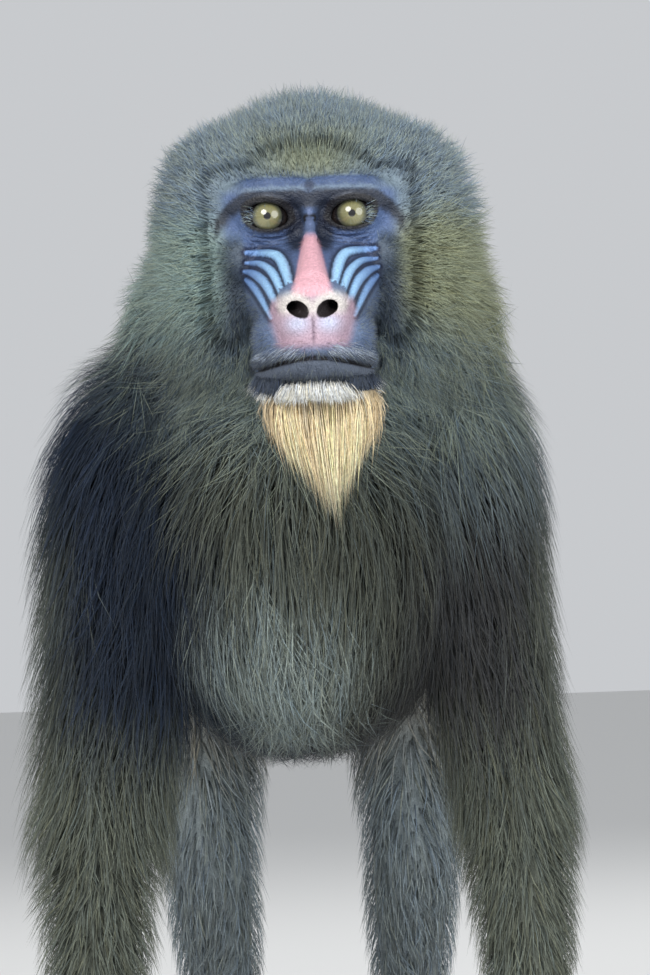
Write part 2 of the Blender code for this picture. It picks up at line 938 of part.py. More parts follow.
def build():
    share = 1.0
    soft = trunk_masses(share) + neck_masses(share) + tail_masses(share)
    for side in WORDS:
        soft += arm_masses(side, share) + leg_masses(side, share)
    groups = [(soft, BODY_BLEND), (hair_masses(share), HAIR_BLEND)]
    body = settle(skin_mesh("body", groups, BODY_STEP), 2, BODY_TRIANGLES)
    clip(body, HEAD_CUT[0], HEAD_CUT[1])

    nodes = {}
    nodes["tail"] = part(body, *TAIL_ROOT)
    rear = part(body, *CHEST_END)
    forelimbs = part(body, *ARM_TOP, tidy=False)
    nodes["chest"] = body
    legs = part(rear, *THIGH_TOP, tidy=False)
    nodes["rump"] = part(rear, *BELLY_END)
    nodes["belly"] = rear
    for side, word in WORDS.items():
        middle = (side * GAP / 2, 0, 0)
        forearm = add_object("forearm", forelimbs.data.copy())
        clip(forearm, middle, (-side, 0, 0))
        clip(forearm, (0, 0, WRIST), (0, 0, -1))
        nodes["forearm_" + word] = forearm
        thigh = add_object("thigh", legs.data.copy())
        clip(thigh, middle, (-side, 0, 0))
        shin = part(thigh, *KNEE)
        clip(shin, (0, 0, ANKLE), (0, 0, -1))
        nodes["thigh_" + word] = thigh
        nodes["shin_" + word] = shin
        paws = (
            ("hand_", hand_masses(side) + arm_masses(side, share), WRIST),
            ("foot_", foot_masses(side) + leg_masses(side, share), ANKLE),
        )
        for name, masses, top in paws:
            low = np.min([m.low for m in masses[:-1]], axis=0) - 0.004
            high = np.max([m.high for m in masses[:-1]], axis=0) + 0.004
            high[2] = top + 0.008
            low[2] = -0.008
            paw = skin_mesh(name, [(masses, PAW_BLEND)], PAW_STEP, low=low, high=high)
            settle(paw, 1, PAW_TRIANGLES)
            clip(paw, (0, 0, top - GAP), (0, 0, 1))
            clip(paw, *FLOOR)
            nodes[name + word] = paw
    bpy.data.objects.remove(forelimbs)
    bpy.data.objects.remove(legs)

    face = face_masses() + beard_masses(share)
    head = skin_mesh(
        "head",
        groups + [(face, FACE_BLEND)],
        HEAD_STEP,
        cuts=face_cuts(),
        low=(-0.09, -0.33, 0.34),
        high=(0.11, -0.08, 0.57),
    )
    settle(head, 0, HEAD_TRIANGLES)
    clip(head, np.array(HEAD_CUT[0]) + GAP * np.array(HEAD_CUT[1]), [-n for n in HEAD_CUT[1]])
    boolean(head, "DIFFERENCE", [socket(-1), socket(1)])
    nodes["head"] = head
    for side, word in WORDS.items():
        nodes["eye_" + word] = eye(side)
        ear = settle(skin_mesh("ear", [(ear_masses(side), 0.0010)], 0.0014), 1, 170)
        back_of_head = grown(head, GAP)
        boolean(ear, "DIFFERENCE", [back_of_head])
        nodes["ear_" + word] = ear
    return nodes


LOOKS = {
    "head": OLIVE,
    "eye": AMBER,
    "ear": SKIN_DARK,
    "chest": SLATE,
    "belly": GREY,
    "rump": OLIVE,
    "tail": OLIVE,
    "forearm": OLIVE,
    "hand": SKIN_DARK,
    "thigh": OLIVE,
    "shin": GREY,
    "foot": SKIN_DARK,
}


def centre_on_floor(nodes):
    """Moves all nodes so that the origin is under the middle of their box."""
    points = []
    for thing in nodes.values():
        co = np.empty(len(thing.data.vertices) * 3)
        thing.data.vertices.foreach_get("co", co)
        points.append(co.reshape(-1, 3))
    points = np.vstack(points)
    low, high = points.min(axis=0), points.max(axis=0)
    shift = Vector((-(low[0] + high[0]) / 2, -(low[1] + high[1]) / 2, -low[2]))
    for thing in nodes.values():
        thing.data.transform(Matrix.Translation(shift))
    print("box", high - low, "shift", shift)


nodes = build()
centre_on_floor(nodes)
for name, thing in nodes.items():
    kind = name.split("_")[0]
    finish(thing, name, LOOKS[kind], 0.15 if kind == "eye" else 0.85)
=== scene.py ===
# %% [markdown]
# # A life-size mandrill, built as a museum would build its model
# The animal stands on all fours and looks straight at the visitor. A museum makes such a
# model in layers: a firm body, one skin over it, glass eyes set under the lids, and then
# the coat, tuft by tuft, along the way the hair lies. This lesson follows the same order.
#
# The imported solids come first. They fix where everything is, and nothing here moves them.

import math

import bpy
import mathutils
import numpy as np
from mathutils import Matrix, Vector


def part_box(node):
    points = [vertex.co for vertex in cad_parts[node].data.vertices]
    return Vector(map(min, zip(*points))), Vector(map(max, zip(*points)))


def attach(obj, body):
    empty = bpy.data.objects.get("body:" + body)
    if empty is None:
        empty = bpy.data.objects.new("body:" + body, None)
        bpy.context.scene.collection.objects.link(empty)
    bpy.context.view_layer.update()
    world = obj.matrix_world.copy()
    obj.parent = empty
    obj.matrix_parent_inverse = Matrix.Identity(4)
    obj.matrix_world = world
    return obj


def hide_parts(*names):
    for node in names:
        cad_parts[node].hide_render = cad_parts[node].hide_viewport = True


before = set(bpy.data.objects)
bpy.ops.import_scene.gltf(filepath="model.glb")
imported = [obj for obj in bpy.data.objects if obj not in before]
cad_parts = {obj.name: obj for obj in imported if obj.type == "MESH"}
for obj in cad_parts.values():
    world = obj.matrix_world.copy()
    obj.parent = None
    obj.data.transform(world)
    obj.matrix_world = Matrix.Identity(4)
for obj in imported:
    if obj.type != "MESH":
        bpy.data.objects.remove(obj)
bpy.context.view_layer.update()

# %% [markdown]
# ## Where the middle of the face is
# Every size on the head is taken from the point between the eyes, as a carver would do.
# The body's own measures were laid out in a drawing whose origin is close to the frame's.
# The two packed eyes say how far the drawing has to move to meet the frame.

# %% The drawing and the frame
EYE_LEVEL = np.array((0.011, -0.233, 0.495))
EYE_SPREAD = 0.0195
EYE_RADIUS = 0.0108
EYE_DEPTH = 0.0100
WORDS = {-1: "right", 1: "left"}

eye_boxes = [np.array(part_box("eye_" + word)) for word in WORDS.values()]
between = np.mean(eye_boxes, axis=(0, 1))
SHIFT = between - (EYE_LEVEL + (0, EYE_DEPTH, -0.0005))
SHIFT[2] = between[2] - EYE_LEVEL[2]
print("the drawing moves by", np.round(SHIFT * 1000, 2), "mm")

# %% [markdown]
# ## Masses
# Flesh has no edges, so the body is described as soft masses that melt into one another.
# A rod runs through elliptical stations, like a limb, and a ball is stretched to three
# radii, like a skull. Each gives the distance from a point to its surface, below zero
# inside. Adding up exponentials of those distances melts neighbours together.

# %% Rods, balls and how they melt


def smooth_path(values, pieces):
    """A Catmull-Rom curve: between two rows b and c, with a before and d after, it is
    half of 2b + (c - a)t + (2a - 5b + 4c - d)t^2 + (3b - a - 3c + d)t^3."""
    values = np.asarray(values, float)
    padded = np.vstack((2 * values[0] - values[1], values, 2 * values[-1] - values[-2]))
    t = np.linspace(0, 1, pieces, endpoint=False)[:, None]
    rows = [
        0.5 * (2 * b + (c - a) * t + (2 * a - 5 * b + 4 * c - d) * t**2)
        + 0.5 * (3 * b - a - 3 * c + d) * t**3
        for a, b, c, d in zip(padded, padded[1:], padded[2:], padded[3:])
    ]
    return np.vstack(rows + [values[-1:]])


def stretched(x, y, z, a, b, c):
    """Distance to an ellipsoid of half axes a, b and c, to first order: k(k - 1) / g, with
    k the point's size in half axes and g the length of k's gradient times k."""
    near = np.sqrt((x / a) ** 2 + (y / b) ** 2 + (z / c) ** 2)
    slope = np.sqrt((x / a**2) ** 2 + (y / b**2) ** 2 + (z / c**2) ** 2)
    return near * (near - 1) / np.maximum(slope, 1e-6)


class Rod:
    """A limb-like mass. Each station is x, y, z, half width and half height."""

    def __init__(self, stations, across=(1, 0, 0), pieces=3):
        path = smooth_path(stations, pieces)
        self.points = path[:, :3]
        self.radii = np.maximum(path[:, 3:5], 0.0004)
        self.across = np.array(across, float)
        self.low = self.points.min(axis=0) - self.radii.max()
        self.high = self.points.max(axis=0) + self.radii.max()

    def distance(self, at):
        """The least distance to any piece of the rod, each a short elliptical cone."""
        best = np.full(len(at), 1e9)
        for a, b, ra, rb in zip(self.points, self.points[1:], self.radii, self.radii[1:]):
            along = b - a
            length = np.linalg.norm(along)
            along = along / length
            across = self.across - along * self.across.dot(along)
            across = across / np.linalg.norm(across)
            up = np.cross(along, across)
            offset = at - a
            run = offset @ along
            share = np.clip(run / length, 0, 1)
            wide, high = (ra[i] + (rb[i] - ra[i]) * share for i in (0, 1))
            over = run - share * length
            cap = np.minimum(wide, high)
            gap = stretched(offset @ across, offset @ up, over, wide, high, cap)
            best = np.minimum(best, gap)
        return best


class Ball:
    """A ball stretched to three radii."""

    def __init__(self, centre, radii):
        self.centre = np.array(centre, float)
        self.radii = np.array(radii, float)
        self.low = self.centre - self.radii.max()
        self.high = self.centre + self.radii.max()

    def distance(self, at):
        return stretched(*(at - self.centre).T, *self.radii)


def softer_of(one, other, width, lowest=True):
    """The lower (or higher) of two distances, rounded by width * log(1 + exp(-gap/width))."""
    edge = width * np.log1p(np.exp(-np.abs(one - other) / width))
    return np.minimum(one, other) - edge if lowest else np.maximum(one, other) + edge


GROUP_BLEND = 0.0015
CUT_BLEND = 0.0004


def blended(at, groups, cuts=()):
    """Distance to a body: -blend * log(sum(exp(-distance / blend))) over each group's
    masses, the groups joined by the soft minimum and the cuts by the soft maximum."""
    value = np.full(len(at), 1.0)
    for masses, blend in groups:
        total = np.full(len(at), 1e-30)
        for mass in masses:
            reach = 9 * blend
            near = np.all((at > mass.low - reach) & (at < mass.high + reach), axis=1)
            if near.any():
                gap = np.clip(mass.distance(at[near]) / blend, -60, 60)
                total[near] += np.exp(-gap)
        value = softer_of(value, -blend * np.log(total), GROUP_BLEND)
    for cut in cuts:
        reach = 6 * CUT_BLEND
        near = np.all((at > cut.low - reach) & (at < cut.high + reach), axis=1)
        if near.any():
            value[near] = softer_of(value[near], -cut.distance(at[near]), CUT_BLEND, False)
    return value


def unit(rows):
    return rows / np.maximum(np.linalg.norm(rows, axis=-1, keepdims=True), 1e-12)


def ramp(low, high, value):
    """0 below low, 1 above high, and 3s^2 - 2s^3 between them."""
    s = np.clip((value - low) / (high - low), 0, 1)
    return s * s * (3 - 2 * s)


print("a unit ball's surface, found at", Ball((0, 0, 0), (1, 1, 1)).distance(np.eye(3)))

# %% [markdown]
# ## The trunk, neck and limbs
# A mandrill's back is level and its chest deep and narrow. The rows below run along the
# spine and the limbs. Their last number is the depth of the coat there, and `share` says
# how much of it to add: 0 is the bare skin, and 1 the outline that a visitor sees.

# %% Body masses
SHOULDER_Y, SHOULDER_Z = -0.128, 0.380
HIP_Y, HIP_Z = 0.202, 0.345
ARM_SPREAD, HAND_SPREAD, LEG_SPREAD = 0.078, 0.103, 0.049

# y, top, bottom, half width and depth of the coat
SPINE = (
    (-0.172, 0.400, 0.318, 0.042, 0.022),
    (-0.150, 0.420, 0.284, 0.058, 0.024),
    (-0.115, 0.430, 0.264, 0.068, 0.022),
    (-0.060, 0.426, 0.254, 0.072, 0.018),
    (0.000, 0.418, 0.255, 0.073, 0.015),
    (0.060, 0.412, 0.262, 0.071, 0.014),
    (0.120, 0.408, 0.272, 0.068, 0.013),
    (0.180, 0.402, 0.288, 0.064, 0.012),
    (0.222, 0.388, 0.304, 0.054, 0.012),
    (0.246, 0.368, 0.324, 0.036, 0.010),
)
# x, y, z, half width, half depth and depth of the coat
ARM = (
    (0.074, 0, 0.396, 0.022, 0.030, 0.014),
    (ARM_SPREAD, 0.002, 0.366, 0.025, 0.034, 0.016),
    (0.085, 0.010, 0.300, 0.022, 0.029, 0.017),
    (0.095, 0.028, 0.238, 0.019, 0.024, 0.015),
    (0.100, 0.028, 0.205, 0.020, 0.024, 0.013),
    (0.103, 0.018, 0.140, 0.017, 0.019, 0.009),
    (HAND_SPREAD, 0.008, 0.092, 0.013, 0.0135, 0.005),
    (HAND_SPREAD, 0.003, 0.060, 0.0135, 0.0120, 0.0025),
    (HAND_SPREAD, 0, 0.040, 0.0135, 0.0110, 0.001),
)
LEG = (
    (0.046, 0.004, 0.360, 0.030, 0.050, 0.012),
    (0.051, -0.006, 0.318, 0.032, 0.056, 0.012),
    (0.055, -0.034, 0.255, 0.028, 0.044, 0.012),
    (0.054, -0.058, 0.202, 0.022, 0.029, 0.010),
    (0.052, -0.050, 0.170, 0.020, 0.026, 0.008),
    (0.050, -0.012, 0.120, 0.0165, 0.0215, 0.007),
    (LEG_SPREAD, 0.028, 0.078, 0.0120, 0.0145, 0.004),
    (LEG_SPREAD, 0.046, 0.052, 0.0135, 0.0140, 0.002),
    (LEG_SPREAD, 0.040, 0.034, 0.0135, 0.0130, 0.001),
)


def limb(side, base_y, rows, share):
    """A limb's rod, mirrored by side, with its half widths grown by the coat's share."""
    return Rod([(side * x, base_y + y, z, w + c * share, d + c * share)
                for x, y, z, w, d, c in rows])


def body_masses(share):
    """Trunk, shoulders, hips, neck, tail and the four limbs."""
    trunk = [
        (0, y, (top + low) / 2, wide + coat * share, (top - low) / 2 + coat * share)
        for y, top, low, wide, coat in SPINE
    ]
    masses = [Rod(trunk, pieces=2)]
    for side in WORDS:
        deep, thin = 0.018 * share, 0.012 * share
        shoulder = (side * 0.062, SHOULDER_Y + 0.006, SHOULDER_Z - 0.012)
        hip = (side * 0.042, HIP_Y - 0.004, HIP_Z)
        masses.append(Ball(shoulder, np.array((0.034, 0.046, 0.056)) + deep))
        masses.append(Ball(hip, np.array((0.036, 0.056, 0.054)) + thin))
        masses.append(limb(side, SHOULDER_Y, ARM, share * (1.45 if side < 0 else 1)))
        masses.append(limb(side, HIP_Y, LEG, share))
    deep = 0.026 * share
    masses.append(
        Rod(
            (
                (0.000, -0.095, 0.370, 0.060 + deep, 0.054 + deep * 0.6),
                (0.002, -0.125, 0.400, 0.056 + deep, 0.056 + deep * 0.6),
                (0.007, -0.152, 0.438, 0.048 + deep, 0.052 + deep * 0.6),
                (0.011, -0.172, 0.474, 0.042 + deep, 0.046 + deep * 0.5),
            )
        )
    )
    c = 0.006 * share
    tail = ((0.226, 0.366, 0.014), (0.256, 0.390, 0.012), (0.279, 0.416, 0.009))
    tail += ((0.291, 0.440, 0.005),)
    masses.append(Rod([(0, y, z, r + c, r + c) for y, z, r in tail]))
    return masses


print("body masses:", len(body_masses(0)))

# %% [markdown]
# ## Hands and feet
# Each has a palm or sole, four digits that lie forward with a raised knuckle, and a thumb
# or great toe set back on the inner side. A digit is one short rod that comes down to the
# floor. The ends of the digits are kept, because the nails are set on them later.

# %% Paw masses
DIGIT_PLACES = (-0.39, -0.135, 0.13, 0.385)
DIGIT_REACHES = (0.84, 0.97, 1.0, 0.90)
DIGIT_SHAPE = ((0, 0, 1.05, 1.10), (0.28, 1, 1, 1), (0.58, 0.6, 0.92, 0.88),
               (0.82, 0, 0.92, 0.80), (1, 0, 0.70, 0.62))
HAND = ((0, 0.066, 0.0140, 0.0120), (-0.002, 0.050, 0.0155, 0.0120),
        (-0.010, 0.032, 0.0190, 0.0105), (-0.024, 0.019, 0.0205, 0.0095),
        (-0.036, 0.013, 0.0205, 0.0085))
FOOT = ((0.044, 0.060, 0.0140, 0.0150), (0.042, 0.040, 0.0150, 0.0160),
        (0.022, 0.025, 0.0160, 0.0165), (-0.010, 0.020, 0.0190, 0.0135),
        (-0.038, 0.014, 0.0205, 0.0105))
DIGIT_ENDS = []


def digit(start, end, knuckle, thick):
    """A rod from start to end: the point at t plus the knuckle's lift, tapering to 0.7."""
    start, end = np.array(start), np.array(end)
    DIGIT_ENDS.append((start, end, thick))
    return Rod([
        (*(start + (end - start) * t + (0, 0, knuckle * lift)), thick * w, thick * h)
        for t, lift, w, h in DIGIT_SHAPE
    ])


def paw_masses(side, rows, x, y, front, length, thick, thumb):
    """A palm through its rows, four fanned digits and a thumb or great toe."""
    masses = [Rod([(x, y + dy, z, w, h) for dy, z, w, h in rows])]
    for place, reach in zip(DIGIT_PLACES, DIGIT_REACHES):
        start = (x + side * place * 0.040, y + front, 0.0108)
        end = (x + side * place * 0.062, y + front - length * reach, 0.0050)
        masses.append(digit(start, end, 0.0030, thick))
    (a, b, c), (d, e, f), lift, wide = thumb
    masses.append(digit((x - side * a, y + b, c), (x - side * d, y + e, f), lift, wide))
    return masses


def paws():
    masses = []
    for side in WORDS:
        x = side * HAND_SPREAD
        thumb = ((0.011, -0.010, 0.020), (0.030, -0.033, 0.0050), 0.0015, 0.0066)
        masses += paw_masses(side, HAND, x, SHOULDER_Y, -0.034, 0.044, 0.0064, thumb)
        x = side * LEG_SPREAD
        thumb = ((0.011, -0.004, 0.016), (0.030, -0.046, 0.0055), 0.0020, 0.0078)
        masses += paw_masses(side, FOOT, x, HIP_Y, -0.038, 0.048, 0.0068, thumb)
        masses.append(Ball((x, HIP_Y + 0.050, 0.020), (0.0140, 0.0165, 0.0190)))
    return masses


PAWS = paws()
print("digits:", len(DIGIT_ENDS))

# %% [markdown]
# ## The head
# The face gets the most care. A mandrill has a long muzzle with a thin bony nose ridge,
# deep-set eyes close together under a heavy brow, and swollen ridges of bare blue skin
# that run from under the eye to beside the nostril. Sizes are in millimetres across, back
# and up from the point between the eyes.

# %% Skull, nose, jaw and lids


def head_rod(rows, side=1, across=(1, 0, 0), pieces=3):
    stations = [
        (*(EYE_LEVEL + np.array((side * x, y, z)) * 0.001), wide * 0.001, high * 0.001)
        for x, y, z, wide, high in rows
    ]
    return Rod(stations, across, pieces)


def head_ball(x, y, z, radii):
    return Ball(EYE_LEVEL + np.array((x, y, z)) * 0.001, np.array(radii) * 0.001)


# back, up, half width and half height
MUZZLE = ((34, -36, 33, 32), (12, -36, 31, 27), (-10, -39, 27.5, 22.5),
          (-32, -44, 23.5, 19), (-52, -49, 18.5, 16), (-64, -51, 14, 12.5))
JAW = ((30, -62, 33, 18), (0, -68, 27, 14), (-30, -70, 23, 12), (-54, -70, 17, 10.5),
       (-64, -69, 11, 8))
NOSE = ((2, 4, 3.0, 4), (-8, -6, 2.4, 4), (-24, -15, 3.2, 5), (-46, -25, 5.0, 6),
        (-64, -33, 6.5, 6))
BROW = ((-42, 20, 2, 4, 6), (-35, 9, 8, 5, 6), (-19, 1, 12.5, 4.5, 6.5),
        (0, -1, 11, 4.0, 5.5), (19, 1, 12.5, 4.5, 6.5), (35, 9, 8, 5, 6), (42, 20, 2, 4, 6))
CHEEKBONE = ((17, 10, -27, 12, 12), (14, -10, -31, 13, 12), (12, -32, -37, 11, 11),
             (8.5, -54, -43, 8.5, 8.5))


def skull_masses():
    """Braincase, brow, cheekbones, muzzle, nose, jaw and the round of the lids."""
    masses = [
        head_ball(0, 58, 4, (44, 52, 40)),
        head_ball(0, 30, 4, (37, 26, 26)),
        head_rod(BROW, across=(0, 1, 0), pieces=2),
        head_rod([(0, *row) for row in MUZZLE]),
        head_rod([(0, *row) for row in JAW]),
        head_rod([(0, *row) for row in NOSE]),
        head_ball(0, -72, -40, (6.0, 7.0, 7.0)),
        head_ball(0, -66, -50, (15, 11, 10)),
    ]
    for side in WORDS:
        x = side * EYE_SPREAD * 1000
        masses.append(head_ball(side * 33, 22, -18, (11, 22, 12)))
        masses.append(head_ball(side * 8.5, -68, -40, (7.5, 8.5, 6.5)))
        masses.append(head_ball(x, EYE_DEPTH * 1000, 0, (12.6, 12.6, 12.6)))
        masses.append(head_rod(CHEEKBONE, side))
    return masses


SKULL = skull_masses()
FACE_BLEND = 0.0022
print("skull masses:", len(SKULL))

# %% [markdown]
# The swollen ridges are drawn as a visitor sees them from the front, as four stripes a side
# that curve from under the eye down to the wing of the nose. Each has its own half width
# along the way. The skin swells on a stripe and sinks between two, and the same distance
# gives the sky blue and the dark furrows.

# %% The ridges and lips
# across, up and half width, from the wing of the nose to under the eye
STRIPES = (
    ((9.2, -39.0, 1.2), (11.9, -26.5, 2.3), (14.8, -19.7, 2.3), (20.0, -17.2, 1.8),
     (29.5, -16.6, 1.1)),
    ((12.6, -41.0, 1.2), (16.7, -29.4, 1.9), (20.3, -24.5, 1.7), (24.5, -21.9, 1.35),
     (30.0, -21.2, 0.7)),
    ((16.0, -44.0, 1.1), (20.7, -33.3, 1.9), (24.4, -28.6, 1.95), (27.8, -26.1, 1.45),
     (31.0, -25.2, 0.7)),
    ((19.0, -48.5, 0.7), (24.2, -37.4, 1.4), (27.7, -31.9, 1.4), (30.4, -29.0, 0.8)),
)


def stripe_gap(at):
    """Millimetres to the nearest stripe's edge as seen from the front: the least distance
    to its path in x and z less its half width there, and 9 away from the muzzle."""
    x, y, z = ((at - EYE_LEVEL) * 1000).T
    gap = np.full(len(at), 9.0)
    near = np.flatnonzero((y < 14) & (y > -72) & (z < -8) & (z > -54) & (np.abs(x) < 38))
    place = np.stack((np.abs(x[near]), z[near]), axis=1)
    best = np.full(len(near), 9.0)
    for stripe in STRIPES:
        path = smooth_path(np.array(stripe), 5)
        for a, b in zip(path, path[1:]):
            along = b[:2] - a[:2]
            share = np.clip((place - a[:2]) @ along / along.dot(along), 0, 1)
            reach = np.linalg.norm(place - a[:2] - share[:, None] * along, axis=1)
            best = np.minimum(best, reach - a[2] - share * (b[2] - a[2]))
    gap[near] = best
    return gap


UPPER_LIP = ((0, -73.5, -63.2, 4, 3.6), (8, -71, -63.8, 4, 3.6), (16, -62.5, -65.4, 3.6, 3.4),
             (22, -46, -67.6, 3.0, 3.0), (25.5, -28, -69.4, 2.0, 2.4))
LOWER_LIP = ((0, -70.5, -71.2, 3.6, 3.0), (8, -68, -71.8, 3.6, 3.0),
             (15, -60, -73.0, 3.2, 2.8), (20.5, -45, -74.2, 2.8, 2.6),
             (24.5, -28, -74.0, 1.8, 2.2))
LIPS = [head_rod(rows, side, (0, 1, 0)) for side in WORDS for rows in (UPPER_LIP, LOWER_LIP)]
LIPS += [head_ball(side * 19.0, -46, -56.5, (8.5, 18, 9.5)) for side in WORDS]
print("stripes a side:", len(STRIPES), "lips:", len(LIPS))

# %% [markdown]
# What is open is cut out of the flesh: nostrils that turn outwards, the line of the mouth,
# the groove of the upper lip, an almond between the lids, and the hollow that the glass
# eye fills.

# %% Nostrils, mouth and lid openings
NOSTRIL = ((2.6, -80, -48.0, 0.9, 1.6), (4.9, -78, -46.4, 2.7, 3.2),
           (8.0, -74, -44.4, 3.2, 3.6), (10.2, -69, -42.8, 2.5, 2.9),
           (9.6, -61, -42.0, 1.8, 1.8))
MOUTH = ((0, -79, -67.6, 3.0, 0.6), (8, -76, -68.2, 3.0, 0.6), (16, -66.5, -69.6, 3.0, 0.6),
         (22.5, -49, -71.0, 3.0, 0.6), (27.5, -26, -71.6, 3.0, 0.6))
PHILTRUM = ((0, -80, -46, 0.8, 1.2), (0, -79.5, -52, 0.9, 1.6), (0, -78, -58, 0.8, 1.6))
X = EYE_SPREAD * 1000
LIDS = ((X - 9.6, 2.5, -1.8, 0.6, 6), (X - 6.0, 0, -0.6, 4.2, 7), (X - 0.4, -1.5, 0.1, 6.1, 8),
        (X + 5.2, 0, 0.5, 4.9, 7), (X + 8.8, 3, 0.8, 0.9, 6))
NOSTRILS = [head_rod(NOSTRIL, side) for side in WORDS]
MOUTHS = [head_rod(MOUTH, side, (0, 1, 0)) for side in WORDS]
OPENINGS = [head_rod(LIDS, side, (0, 0, 1)) for side in WORDS]
HOLLOWS = [head_ball(side * X, EYE_DEPTH * 1000, 0, [EYE_RADIUS * 1000 + 0.15] * 3)
           for side in WORDS]
CUTS = NOSTRILS + MOUTHS + OPENINGS + HOLLOWS + [head_rod(PHILTRUM)]
print("openings:", len(CUTS))

# %% [markdown]
# ## Under the hair of the head
# Dense hair makes a mandrill's head look twice as wide as its skull. The cheeks and crown
# are masses of their own, bare at share 0 and out to the tips at share 1, so that the same
# numbers give the skin and the outline that the tufts have to reach. The last pair fills
# the neck's sides, where the ruff runs into the mantle.

# %% Cheeks and crown


def hair_masses(share):
    masses = [
        head_ball(0, 60, 8, (42 + 10 * share, 50 + 8 * share, 36 + 15 * share)),
        head_ball(0, 26, 15, (36 + 6 * share, 22 + 3 * share, 20 + 8 * share)),
    ]
    for side in WORDS:
        wide = share * (9 if side > 0 else 1)
        masses.append(head_ball(
            side * 42, 40, 0, (14 + 16 * share + wide, 24 + 8 * share, 34 + 9 * share)))
        masses.append(head_ball(
            side * 38, 38, -38, (12 + 20 * share + wide, 22 + 10 * share, 30 + 12 * share)))
        masses.append(head_ball(
            side * 39, 30, -16, (9 + 5 * share, 14 + 5 * share, 30 + 5 * share)))
        masses.append(head_ball(
            side * 48, 76, -50, (25 + 19 * share, 34 + 12 * share, 34 + 13 * share)))
    return masses


FACE = SKULL + LIPS
BARE = [
    (body_masses(0), 0.007),
    (hair_masses(0), 0.007),
    (FACE, FACE_BLEND),
    (PAWS, 0.0012),
]
COATED = [(body_masses(1), 0.007), (hair_masses(1), 0.007), (FACE, 0.004), (PAWS, 0.003)]
print("masses in all:", sum(len(masses) for masses, _ in BARE))

# %% [markdown]
# ## One skin
# The skin is where the distance is zero. A grid of lines runs through the whole animal,
# close together at the face and the digits and wider elsewhere, so a single mesh without
# any seam can be fine where a visitor looks. One point goes into each grid cell that the
# surface crosses, at the mean of the crossings on its edges, and neighbours are joined
# into quads. That is called a surface net.

# %% Grid lines
BLOCK = 6


def grid_lines(low, high, coarse, zones):
    """Line after line, each a step on: coarse, or less inside a zone and near it."""
    lines = [low]
    while lines[-1] < high or (len(lines) % BLOCK):
        step = coarse
        for start, end, fine in zones:
            beyond = max(start - lines[-1], lines[-1] - end, 0)
            step = min(step, fine + (coarse - fine) * beyond / 0.02)
        lines.append(lines[-1] + step)
    return np.array(lines)


FINE = 0.00075
fx, fy, fz = EYE_LEVEL
LINES = [
    grid_lines(-0.145, 0.145, 0.0019, [(fx - 0.044, fx + 0.044, FINE)]),
    grid_lines(-0.325, 0.315, 0.0030,
               [(fy - 0.084, fy + 0.024, FINE), (-0.215, -0.10, 0.002), (0.11, 0.28, 0.002)]),
    grid_lines(-0.012, 0.560, 0.0030, [(fz - 0.092, fz + 0.03, FINE), (0.0, 0.055, 0.0016)]),
]
print("grid lines:", [len(lines) for lines in LINES])

# %% Distances on the grid, worked out only near the surface


def grid_distances(lines, groups, cuts=(), beyond=0.001):
    """Distances at all crossings of the lines. Blocks of cells whose middle is further
    from the surface than half their diagonal keep only their sign."""
    count = [len(line) // BLOCK for line in lines]
    blocks = [line[: n * BLOCK].reshape(n, BLOCK) for line, n in zip(lines, count)]
    middles = [block.mean(axis=1) for block in blocks]
    reach = [block[:, -1] - block[:, 0] for block in blocks]
    centres = np.stack(np.meshgrid(*middles, indexing="ij"), axis=-1).reshape(-1, 3)
    spans = np.stack(np.meshgrid(*reach, indexing="ij"), axis=-1).reshape(-1, 3)
    rough = blended(centres, groups, cuts)
    near = np.abs(rough) < np.linalg.norm(spans, axis=1) * 0.75 + beyond
    values = np.where((rough < 0).reshape(count), -1.0, 1.0).astype(np.float32)
    values = values.repeat(BLOCK, 0).repeat(BLOCK, 1).repeat(BLOCK, 2)
    cells = np.argwhere(near.reshape(count)) * BLOCK
    local = np.stack(np.meshgrid(*[np.arange(BLOCK)] * 3, indexing="ij"), axis=-1)
    local = local.reshape(-1, 3)
    for part in np.array_split(cells, max(1, len(cells) // 1500)):
        index = (part[:, None, :] + local[None]).reshape(-1, 3)
        at = np.stack([lines[i][index[:, i]] for i in range(3)], axis=1)
        values[tuple(index.T)] = blended(at, groups, cuts)
    for axis in range(3):
        for end in (0, -1):
            wall = [slice(None)] * 3
            wall[axis] = end
            values[tuple(wall)] = 0.002
    return values


